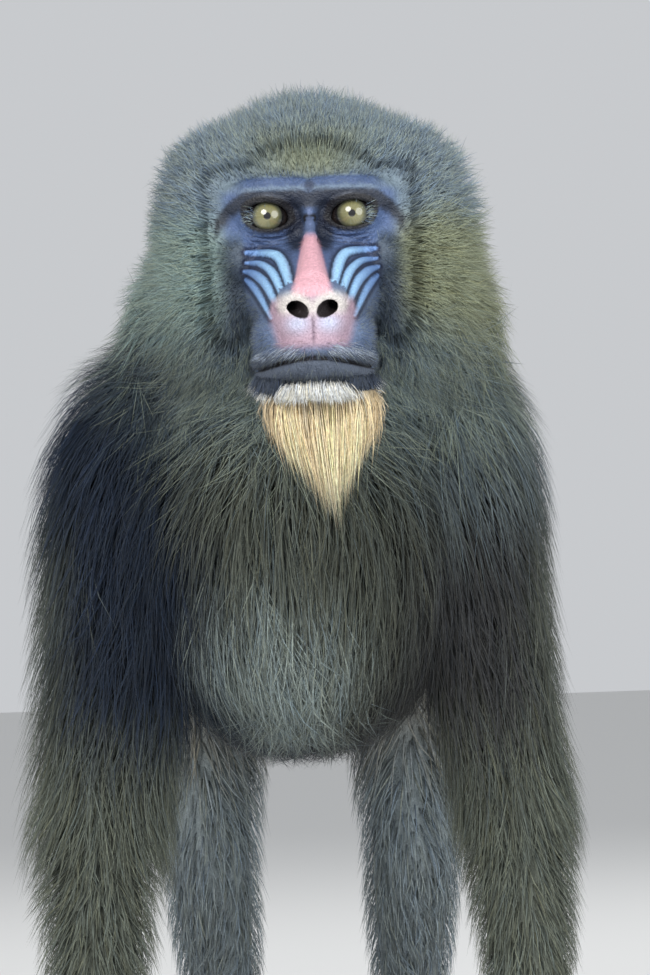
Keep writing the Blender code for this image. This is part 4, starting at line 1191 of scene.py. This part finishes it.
# Each ring's share of the root colour: painted shade deep in the coat, partly the hair's own dark
# root band.
SHADE = {1: (0.85,), 2: (0.75, 1.0), 3: (0.72, 0.95, 1.04)}
PALE_TICK = (0.560, 0.620, 0.450)
FEWER = 1.0
COAT = []


def tufts(name, roots, line, facing, widths, base, tick, axis, middle, chance):
    """The blades of one piece, with their colours and their patches."""
    rings = line.shape[1] - 1
    points, faces = blades(line, facing, widths / math.sqrt(FEWER), TAPER[rings])
    clump = waves(roots, 0.012, 9).mean(axis=1)[:, None]
    tone = np.exp(chance.normal(0, 0.11, (len(roots), 1)) + 0.10 * clump)
    warm = chance.normal(0, 0.05, (len(roots), 1)) * np.array((1.0, 0.35, -1.0))
    base = base * tone * (1 + warm)
    tips = np.clip(1 + tick * chance.normal(0.2, 0.9, (len(roots), 1)), 0.4, 2.2)
    # Painted shade: the rings darken towards the skin, partly as the hair's dark root band.
    rows = [np.repeat((base * shade)[:, None], 3, axis=1) for shade in SHADE[rings]]
    paler = (chance.random(len(roots)) < 0.55 * tick) * tick * (base.sum(axis=1) > 0.3)
    ends = mixed(base * tips, PALE_TICK, paler)
    tint = np.concatenate(rows + [ends[:, None]], axis=1).reshape(-1, 3)
    piece = put(name, points, faces, np.clip(tint, 0.003, 0.95))
    step = np.arange(3 * rings + 1)
    inside = np.stack((step // 3 / rings, step % 3 / 2), axis=1) * TUFT_PATCH
    patches = (unwrap(roots, axis, middle)[:, None] + inside).reshape(-1, 2)
    atlas = piece.data.uv_layers.new(name="OFBake")
    atlas.uv.foreach_set("vector", patches[faces.ravel()].astype(np.float32).ravel())
    COAT.append(piece)
    print(name, len(roots), "tufts,", len(faces), "triangles")
    return piece


def coat(name, count, where, seed, axis, middle, wide, lift=0.95, spread=0.12, rings=3,
         tick=0.35):
    """Scatters, combs and colours one region of the coat. Lengths are the region's own,
    times 1 + 0.22 of a slow wave, times a chance from 0.7 to 1.2."""
    chance = np.random.default_rng(seed)
    roots, outs = scatter(int(count * FEWER), where, chance)
    keep = chance.random(len(roots)) > bare(roots)
    roots, outs = roots[keep], outs[keep]
    clump = waves(roots, 0.010, seed + 50).mean(axis=1)
    lengths = length_of(roots) * (1 + 0.3 * clump) * chance.uniform(0.7, 1.2, len(roots))
    depths = np.clip(-outline(roots)[0], 0.0006, 0.8 * lengths)
    raised = lift * chance.uniform(0.55, 1.12, len(roots)) + 0.15 * clump
    line, facing = combed(roots, outs, lengths, depths, raised, spread, rings, chance)
    widths = wide * chance.uniform(0.7, 1.3, len(roots)) * (0.75 + lengths / 0.08)
    return tufts(name, roots, line, facing, widths, markings(roots), tick, axis, middle, chance)


# %% [markdown]
# ## The coat, region by region
# The ruff and crown have the finest tufts because they frame the face. The mantle and
# chest have the longest. Each region's unwrap runs along the head, trunk or limb and round
# it.

# %% Head
HEAD_MIDDLE = (0.011, 0.480)
BODY_MIDDLE = (0.0, 0.345)
LIMBS_BELOW = 0.222


def on_face(at):
    return short_fur(*from_eyes(at)) > 0.5


def finer(at):
    """More roots where the hair is shorter, close to the face."""
    x, y, z = from_eyes(at)
    return 1 + 2.2 * ramp(1.8, 1.0, np.hypot(x / 44, (z + 22) / 46)) * ramp(60, 20, y)


def crowned(at):
    return (on_head(at) > 0.3) * ~on_face(at) * (from_eyes(at)[2] > 12) * finer(at)


def ruffed(side):
    return lambda at: ((on_head(at) > 0.3) * ~on_face(at) * (from_eyes(at)[2] <= 12)
                       * (from_eyes(at)[0] * side > 0) * finer(at))


coat("crown_coat", 19500, crowned, 21, 1, HEAD_MIDDLE, 0.00022, lift=1.25, spread=0.32,
     rings=2, tick=0.75)
for side, word in WORDS.items():
    coat("ruff_coat_" + word, 19500, ruffed(side), 23 + side, 1, HEAD_MIDDLE, 0.00023,
         lift=1.12, spread=0.30, rings=2, tick=0.75)
coat("face_coat", 26000, lambda at: (on_head(at) > 0.3) & on_face(at), 27, 1, HEAD_MIDDLE,
     0.00022, lift=0.8, spread=0.20, rings=1, tick=0.5)

# %% Trunk and limbs


def trunk(low, high, side=0):
    """Behind the head and above the limbs, between two places along the back."""
    return lambda at: ((on_head(at) <= 0.3) & (at[:, 1] >= low) & (at[:, 1] < high)
                       & (at[:, 2] > LIMBS_BELOW) & (at[:, 0] * side >= 0))


def limb_part(low, high, side):
    return lambda at: ((at[:, 1] >= low) & (at[:, 1] < high) & (at[:, 2] <= LIMBS_BELOW)
                       & (at[:, 0] * side > 0))


for side, word in WORDS.items():
    coat("mantle_coat_" + word, 12200, trunk(-0.4, -0.055, side), 31 + side, 1, BODY_MIDDLE,
         0.00024, lift=1.0, spread=0.10, tick=0.15)
    coat("foreleg_coat_" + word, 7000, limb_part(-0.3, 0, side), 51 + side, 2,
         (side * HAND_SPREAD, SHOULDER_Y), 0.00030, spread=0.12, rings=2, tick=0.25)
    coat("hindleg_coat_" + word, 4400, limb_part(0, 0.4, side), 61 + side, 2,
         (side * LEG_SPREAD, HIP_Y), 0.00040, spread=0.12, rings=2, tick=0.25)
coat("back_coat", 6400, trunk(-0.055, 0.13), 41, 1, BODY_MIDDLE, 0.00046, spread=0.12, tick=0.25)
coat("rump_coat", 7600, trunk(0.13, 0.4), 42, 1, BODY_MIDDLE, 0.00042, spread=0.12, rings=2,
     tick=0.25)
print("coat so far:", sum(len(piece.data.polygons) for piece in COAT), "triangles")

# %% [markdown]
# ## Beard and whiskers
# The beard hangs from the chin and comes together in one point, a little to the animal's
# left. White hairs fan from the upper lip and fringe the chin. They leave the skin instead
# of lying on it, so each is a curve from its root through a middle point to its end.

# %% Hanging hair


def hanging(name, roots, middles, ends, wide, base, seed, tick=0.3, rings=3):
    """Tufts along (1 - t)^2 root + 2t(1 - t) middle + t^2 end, from places in millimetres
    from the eyes. They face away from the middle of the head."""
    chance = np.random.default_rng(seed)
    roots, middles, ends = (EYE_LEVEL + np.asarray(p) * 0.001 for p in (roots, middles, ends))
    t = np.linspace(0, 1, rings + 1)[None, :, None]
    line = ((1 - t) ** 2 * roots[:, None] + 2 * t * (1 - t) * middles[:, None]
            + t**2 * ends[:, None])
    facing = unit(line - (EYE_LEVEL + (0, -0.025, -0.085)))
    widths = wide * chance.uniform(0.7, 1.3, len(roots))
    return tufts(name, roots, line, facing, widths, base, tick, 0, HEAD_MIDDLE, chance)


def beard_hair(count, seed):
    """Roots over the chin; ends gather at (9, -51, -150), nearer to it for longer tufts."""
    chance = np.random.default_rng(seed)
    place = chance.uniform(-1, 1, count)
    x = 3 + 24 * np.sign(place) * np.abs(place) ** 0.85
    back = chance.uniform(0, 1, count)
    y = -63 + 50 * back + 0.018 * (x - 3) ** 2
    low = 3.5 * ramp(10, 18, np.abs(x - 1)) * (1 - back)
    root = np.stack((x, y, -79.5 + 2 * back - low), axis=1)
    reach = (1 - 0.60 * np.abs(place) ** 1.5) * (1 - 0.45 * back)
    share = chance.uniform(0.35, 1.0, count) * reach
    tip = np.array((9.0, -50.0, -150.0))
    end = root + (tip - root) * share[:, None] ** np.array((2.2, 1.0, 0.95))
    end += chance.normal(0, 3.2, (count, 3)) * (1 - 0.6 * share[:, None])
    middle = root + (end - root) * 0.45 + np.stack((0.24 * (x - 3), -3.5 + 0 * x, 0 * x), 1)
    return root, middle, end


root, middle, end = beard_hair(int(4600 * FEWER), 71)
deep = ramp(-88, -104, end[:, 2])
gold = mixed(np.tile(BEARD_PALE, (len(root), 1)), BEARD, 0.2 + 0.6 * deep)
gold = mixed(gold, OCHRE, ramp(17, 27, np.abs(root[:, 0] - 3)) * 0.8)
gold = mixed(gold, CHEST_OLIVE, ramp(-36, -16, root[:, 1]) * 0.8)
hanging("beard", root, middle, end, 0.00026, gold, 72, tick=0.1)


def fringe_hair(count, seed, rows, length, way):
    """Roots along a polyline of (x, y, z) rows on both sides, ends a length along a way
    that turns outwards with x."""
    chance = np.random.default_rng(seed)
    share = chance.uniform(0, 1, count)
    side = np.where(chance.random(count) < 0.5, -1, 1)
    rows = np.array(rows, float)
    at = np.stack([np.interp(share, np.linspace(0, 1, len(rows)), rows[:, i])
                   for i in range(3)], axis=1)
    at += chance.normal(0, 0.9, at.shape) * (1, 0.3, 1)
    turn = np.array(way) * (1, 1, 1) + np.outer(share, (0.55, 0.30, 0.1))
    ends = at + unit(turn + chance.normal(0, 0.12, at.shape)) * length * chance.uniform(
        0.6, 1.15, count)[:, None]
    middle = (at + ends) / 2 + (0, -1.2, 0.6)
    sides = np.stack((side, np.ones(count), np.ones(count)), axis=1)
    return at * sides, middle * sides, ends * sides


root, middle, end = fringe_hair(int(420 * FEWER), 73, (
    (3, -75, -62), (9, -73.5, -62), (16, -65, -63), (22, -50, -65)), 8.0, (0.55, -0.25, -0.6))
hanging("lip_whiskers", root, middle, end, 0.00010, np.tile((0.42, 0.48, 0.58), (len(root), 1)),
        74, tick=0.5)
root, middle, end = fringe_hair(int(1100 * FEWER), 75, (
    (0, -71, -79.5), (6, -69, -79.8), (10, -66, -80), (14, -61, -80)), 8.0, (-0.1, -0.35, -0.9))
hanging("chin_fringe", root, middle, end, 0.00020, np.tile(WHITE_HAIR, (len(root), 1)), 76,
        tick=0.1)
root, middle, end = fringe_hair(int(1500 * FEWER), 77, (
    (15, -60, -75), (19, -54, -75.5), (23, -44, -76), (26.5, -30, -75)), 8.5, (0.0, -0.3, -0.95))
hanging("jaw_hair", root, middle, end, 0.00017, np.tile(LIP_GREY, (len(root), 1)), 78)
root, middle, end = fringe_hair(int(320 * FEWER), 79, (
    (15, -62, -83), (21, -53, -83), (25, -42, -81), (28.5, -28, -77)), 5.5, (0.15, -0.4, -0.8))
hanging("jaw_fringe", root, middle, end, 0.00012, np.tile(WHITE_HAIR, (len(root), 1)), 80,
        tick=0.2)

# %% [markdown]
# ## Glass eyes
# A taxidermist buys glass eyes, each a ball with a clear dome over the iris. Here the rings
# are set close where the pupil's edge and the iris need them, and the iris gets its fine
# spokes as colours on the points.

# %% Eyes
IRIS, PUPIL = 7.0, 1.6
AMBER = (0.200, 0.190, 0.085)
IRIS_RIM = (0.080, 0.085, 0.055)
EYE_WHITE = (0.022, 0.016, 0.015)
BLACK = (0.004, 0.004, 0.005)


def eyeball(side):
    """Rings about the axis of sight at angle a: radius R plus a dome of 0.75 mm that
    falls off as the cosine towards the iris's rim."""
    spokes, rings = 128, 84
    radius = EYE_RADIUS * 1000
    share = np.linspace(0, 1, rings)
    angle = math.pi * (0.42 * share + 0.58 * share**3)
    turn = np.arange(spokes) * 2 * math.pi / spokes
    flat = radius * np.sin(angle)
    dome = 0.75 * np.cos(np.clip(flat / (IRIS + 0.6), 0, 1) * math.pi / 2) * (angle < 1.2)
    size = radius + dome
    a, b = np.meshgrid(angle[1:-1], turn, indexing="ij")
    r = size[1:-1, None]
    ball = np.stack((r * np.sin(a) * np.cos(b), -r * np.cos(a), r * np.sin(a) * np.sin(b)), -1)
    points = np.vstack(([[0, -size[0], 0]], ball.reshape(-1, 3), [[0, size[-1], 0]]))
    ring = np.arange(rings - 2)[:, None] * spokes + 1
    here = ring + np.arange(spokes)[None]
    ahead = ring + (np.arange(spokes)[None] + 1) % spokes
    quads = np.stack((here[:-1], ahead[:-1], ahead[1:], here[1:]), -1).reshape(-1, 4)
    faces = np.vstack((quads[:, :3], quads[:, [0, 2, 3]],
                       np.stack((0 * here[0], ahead[0], here[0]), 1),
                       np.stack((here[-1], ahead[-1], 0 * here[0] + len(points) - 1), 1)))
    out = np.hypot(points[:, 0], points[:, 2])
    spin = np.arctan2(points[:, 2], points[:, 0])
    fibre = sum(np.sin(spin * k + p) / k**0.3 for k, p in ((17, 0), (29, 1), (43, 2), (61, 4)))
    tint = np.tile(EYE_WHITE, (len(points), 1))
    within = (points[:, 1] < 0) * 1.0
    tint = mixed(tint, (0.012, 0.011, 0.012), ramp(IRIS + 1.5, IRIS + 0.1, out) * within)
    tint = mixed(tint, IRIS_RIM, ramp(IRIS + 0.1, IRIS - 0.7, out) * within)
    tint = mixed(tint, AMBER, ramp(IRIS - 0.6, IRIS - 2.6, out) * within)
    tint = tint * (1 + 0.10 * fibre * ramp(IRIS, IRIS - 1.2, out) * within)[:, None]
    tint = mixed(tint, BLACK, ramp(PUPIL + 0.22, PUPIL - 0.05, out) * within)
    centre = EYE_LEVEL + np.array((side * EYE_SPREAD, EYE_DEPTH, 0))
    return put("eyeball_" + WORDS[side], points * 0.001 + centre, faces, np.clip(tint, 0.003, 1))


eyeballs = {word: eyeball(side) for side, word in WORDS.items()}
print("faces in an eye:", len(eyeballs["left"].data.polygons))

# %% [markdown]
# ## Ears and nails
# Only the rims of the ears show in front, in the hair. They are small bare shells, made
# with the same masses and surface net as the skin. The nails are flat shields on the backs
# of the digits.

# %% Ears


def ear_shell(side):
    rim = [(56 + 12.75 * math.cos(t), 74 + 7.5 * math.cos(t), 8 + 20 * math.sin(t), 2, 2)
           for t in np.linspace(-0.5 * math.pi, 1.5 * math.pi, 13)]
    masses = [head_rod([(row[0], *row[1:]) for row in rim], side, (0, 1, 0)),
              head_ball(side * 57, 77, 8, (13, 3.6, 18)),
              head_rod([(36, 64, 4, 8, 12), (52, 74, 7, 8, 12)], side, (0, 1, 0))]
    low = np.min([mass.low for mass in masses], axis=0) - 0.004
    high = np.max([mass.high for mass in masses], axis=0) + 0.004
    lines = [grid_lines(low[i], high[i], 0.0011, []) for i in range(3)]
    points, quads = surface_net(grid_distances(lines, [(masses, 0.0012)]), lines)
    points = evened(points, quads, 2)
    tint = np.tile((0.050, 0.046, 0.050), (len(points), 1))
    tint = mixed(tint, (0.150, 0.110, 0.110), ramp(-0.3, 0.9, waves(points, 0.02, 5)[:, 0]) * 0.5)
    return put("ear_shell_" + WORDS[side], points, quads, tint)


ear_shells = {word: ear_shell(side) for side, word in WORDS.items()}

# %% Nails
NAIL_LIFT = 0.55


def nail(start, end, thick):
    """A shield: from the pole at its root to its free edge, half widths as the sine of
    the share, bowed over the digit, with a thin under side."""
    start, end = np.asarray(start, float), np.asarray(end, float)
    along = unit(end - start)
    side = unit(np.cross(along, (0, 0, 1.0)))
    up = np.cross(side, along)
    u, v = np.meshgrid(np.linspace(0, 1, 9), np.arange(12) * 2 * math.pi / 12, indexing="ij")
    wide = thick * 0.62 * np.sqrt(np.clip(np.sin(math.pi * (0.06 + 0.80 * u)), 0, 1))
    wide[0] = wide[-1] = 0.0
    across = wide * np.cos(v)
    rise = thick * (0.80 + 0.22 * np.sin(v) * wide / thick) - 0.55 * across**2 / thick
    run = thick * (-0.6 + 2.1 * u)
    points = (end + along * run[..., None] + side * across[..., None] + up * rise[..., None])
    grid = np.arange(u.size).reshape(u.shape)
    ahead = np.roll(grid, -1, axis=1)
    quads = np.stack((grid[:-1], grid[1:], ahead[1:], ahead[:-1]), -1).reshape(-1, 4)
    return points.reshape(-1, 3), quads


made = [nail(*ends) for ends in DIGIT_ENDS]
starts = np.cumsum([0] + [len(points) for points, _ in made[:-1]])
nails = put("nails", np.vstack([points for points, _ in made]),
            np.vstack([quads + start for (_, quads), start in zip(made, starts)]))
print("nails:", len(made))

# %% [markdown]
# ## Materials
# The coat's colour comes from its own attribute, broken by a fine noise as hairs are. The
# bare skin adds pores and a leathery grain. The eyes are glass, so they are glossy with a
# clear coat. Every pattern is placed by Object coordinates in metres, so its size is real.

# %% Helpers for nodes


def material(name, **sockets):
    made = bpy.data.materials.new(name)
    made.use_nodes = True
    shader = made.node_tree.nodes["Principled BSDF"]
    for socket, value in sockets.items():
        shader.inputs[socket.replace("_", " ")].default_value = value
    return made, made.node_tree, shader


def grain(tree, scale, detail=3.0, stretch=(1, 1, 1)):
    """Noise on Object coordinates; scale is in turns a metre."""
    place = tree.nodes.new("ShaderNodeTexCoord")
    turn = tree.nodes.new("ShaderNodeMapping")
    turn.inputs["Scale"].default_value = stretch
    noise = tree.nodes.new("ShaderNodeTexNoise")
    noise.inputs["Scale"].default_value = scale
    noise.inputs["Detail"].default_value = detail
    tree.links.new(place.outputs["Object"], turn.inputs["Vector"])
    tree.links.new(turn.outputs["Vector"], noise.inputs["Vector"])
    return noise.outputs["Fac"]


def tinted(tree, shader, fac, low, high):
    """Base colour: the tint attribute times a grey from low to high along the noise."""
    own = tree.nodes.new("ShaderNodeAttribute")
    own.attribute_name = "tint"
    span = tree.nodes.new("ShaderNodeMapRange")
    span.inputs["From Min"].default_value, span.inputs["From Max"].default_value = 0.3, 0.7
    span.inputs["To Min"].default_value, span.inputs["To Max"].default_value = low, high
    scaled = tree.nodes.new("ShaderNodeVectorMath")
    scaled.operation = "SCALE"
    tree.links.new(fac, span.inputs["Value"])
    tree.links.new(own.outputs["Color"], scaled.inputs[0])
    tree.links.new(span.outputs["Result"], scaled.inputs["Scale"])
    tree.links.new(scaled.outputs["Vector"], shader.inputs["Base Color"])


def bumped(tree, shader, fac, depth, before=None):
    bump = tree.nodes.new("ShaderNodeBump")
    bump.inputs["Distance"].default_value = depth
    tree.links.new(fac, bump.inputs["Height"])
    if before is not None:
        tree.links.new(before.outputs["Normal"], bump.inputs["Normal"])
    tree.links.new(bump.outputs["Normal"], shader.inputs["Normal"])
    return bump


# %% Skin, coat, glass, horn
hide, tree, shader = material("bare skin", Roughness=0.52)
tinted(tree, shader, grain(tree, 900), 0.84, 1.16)
pores = tree.nodes.new("ShaderNodeTexVoronoi")
pores.inputs["Scale"].default_value = 1100
place = tree.nodes.new("ShaderNodeTexCoord")
tree.links.new(place.outputs["Object"], pores.inputs["Vector"])
deeper = bumped(tree, shader, pores.outputs["Distance"], 0.00035)
bumped(tree, shader, grain(tree, 420, 4.0), 0.0008, deeper)

fur, tree, shader = material("fur", Roughness=0.78, Sheen_Weight=0.05, Sheen_Roughness=0.5,
                             Specular_IOR_Level=0.2)
tinted(tree, shader, grain(tree, 700, 2.0), 0.80, 1.20)

glass, tree, shader = material("glass eye", Roughness=0.12, Coat_Weight=1.0,
                               Coat_Roughness=0.02)
tinted(tree, shader, grain(tree, 1500), 0.92, 1.08)

ear_hide, tree, shader = material("ear skin", Roughness=0.6)
tinted(tree, shader, grain(tree, 600), 0.8, 1.2)
bumped(tree, shader, grain(tree, 700), 0.0006)

horn, tree, shader = material("nail horn", Roughness=0.34)
ramped = tree.nodes.new("ShaderNodeValToRGB")
ramped.color_ramp.elements[0].color = (0.012, 0.010, 0.010, 1)
ramped.color_ramp.elements[1].color = (0.075, 0.062, 0.055, 1)
tree.links.new(grain(tree, 500, stretch=(1, 0.2, 1)), ramped.inputs["Fac"])
tree.links.new(ramped.outputs["Color"], shader.inputs["Base Color"])
bumped(tree, shader, grain(tree, 900, stretch=(1, 0.2, 1)), 0.0003)

for piece, look in [(skin, hide), (nails, horn)] + [(p, fur) for p in COAT] + [
        (p, glass) for p in eyeballs.values()] + [(p, ear_hide) for p in ear_shells.values()]:
    piece.data.materials.clear()
    piece.data.materials.append(look)

# %% [markdown]
# ## Fixing it to the frame
# The skin stands for every solid of flesh. The eyes and ears stand for their own.

# %% Rides and replacements
FLESH = [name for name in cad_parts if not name.startswith(("eye_", "ear_"))]
for piece in [skin, nails, *COAT, *eyeballs.values(), *ear_shells.values()]:
    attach(piece, "root")
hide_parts(*FLESH)
for word in WORDS.values():
    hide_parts("eye_" + word)
    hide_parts("ear_" + word)
print("solids replaced:", len(FLESH) + 4)

# %% [markdown]
# ## Camera, floor and light
# The photograph was taken from far off with a long lens, level, from straight in front. It
# is cut off at the forearms. The head leans by two degrees in the picture, so the camera
# leans instead. A large soft light from the upper left gives the small glints in the eyes.

# %% Camera
PIXEL = 0.00046
AWAY = 3.0
LEAN = math.radians(2.0)
EYES_IN_PICTURE = np.array((309.5 - 325.0, 487.5 - 214.5))

right = np.array((math.cos(LEAN), 0, -math.sin(LEAN)))
above = np.array((math.sin(LEAN), 0, math.cos(LEAN)))
eyes = EYE_LEVEL + SHIFT
lens = bpy.data.cameras.new("camera")
lens.lens = 36 * AWAY / (975 * PIXEL)
lens.clip_end = 50
camera = bpy.data.objects.new("camera", lens)
bpy.context.scene.collection.objects.link(camera)
spot_at = eyes - (right * EYES_IN_PICTURE[0] + above * EYES_IN_PICTURE[1]) * PIXEL
camera.location = (spot_at[0], eyes[1] - AWAY, spot_at[2])
camera.rotation_euler = (math.radians(90), LEAN, 0)
bpy.context.scene.camera = camera
print("camera:", [round(v, 3) for v in camera.location], "lens", round(lens.lens))

# %% Floor and light
floor = put("floor", np.array(((-8, -8, 0), (8, -8, 0), (8, 8, 0), (-8, 8, 0.0))) - SHIFT,
            np.array([[0, 1, 2, 3]]))
floor.data.vertices.foreach_set("co", np.array(
    ((-8, -8, -0.0002), (8, -8, -0.0002), (8, 8, -0.0002), (-8, 8, -0.0002))).ravel())
pale, tree, shader = material("pale floor", Roughness=0.8)
shader.inputs["Base Color"].default_value = (0.68, 0.68, 0.67, 1)
floor.data.materials.append(pale)

world = bpy.data.worlds.new("studio")
world.use_nodes = True
world.node_tree.nodes["Background"].inputs["Color"].default_value = (0.80, 0.82, 0.85, 1)
world.node_tree.nodes["Background"].inputs["Strength"].default_value = 0.72
bpy.context.scene.world = world
bpy.context.scene.view_settings.view_transform = "Standard"


def soft_light(name, place, aim, size, power, colour=(1, 1, 1)):
    light = bpy.data.lights.new(name, "AREA")
    light.shape, light.size, light.energy, light.color = "DISK", size, power, colour
    made = bpy.data.objects.new(name, light)
    bpy.context.scene.collection.objects.link(made)
    made.location = place
    turn = np.array(aim, float) - np.array(place, float)
    made.rotation_euler = mathutils.Vector(turn).to_track_quat("-Z", "Y").to_euler()


soft_light("key", (-0.9, -2.5, 1.7), (0, -0.15, 0.4), 1.5, 56, (1.0, 0.99, 0.97))
soft_light("fill", (1.7, -1.9, 0.9), (0, -0.1, 0.35), 1.8, 30, (0.94, 0.97, 1.0))
soft_light("back", (0.4, 2.2, 2.0), (0, 0.1, 0.4), 1.6, 24)
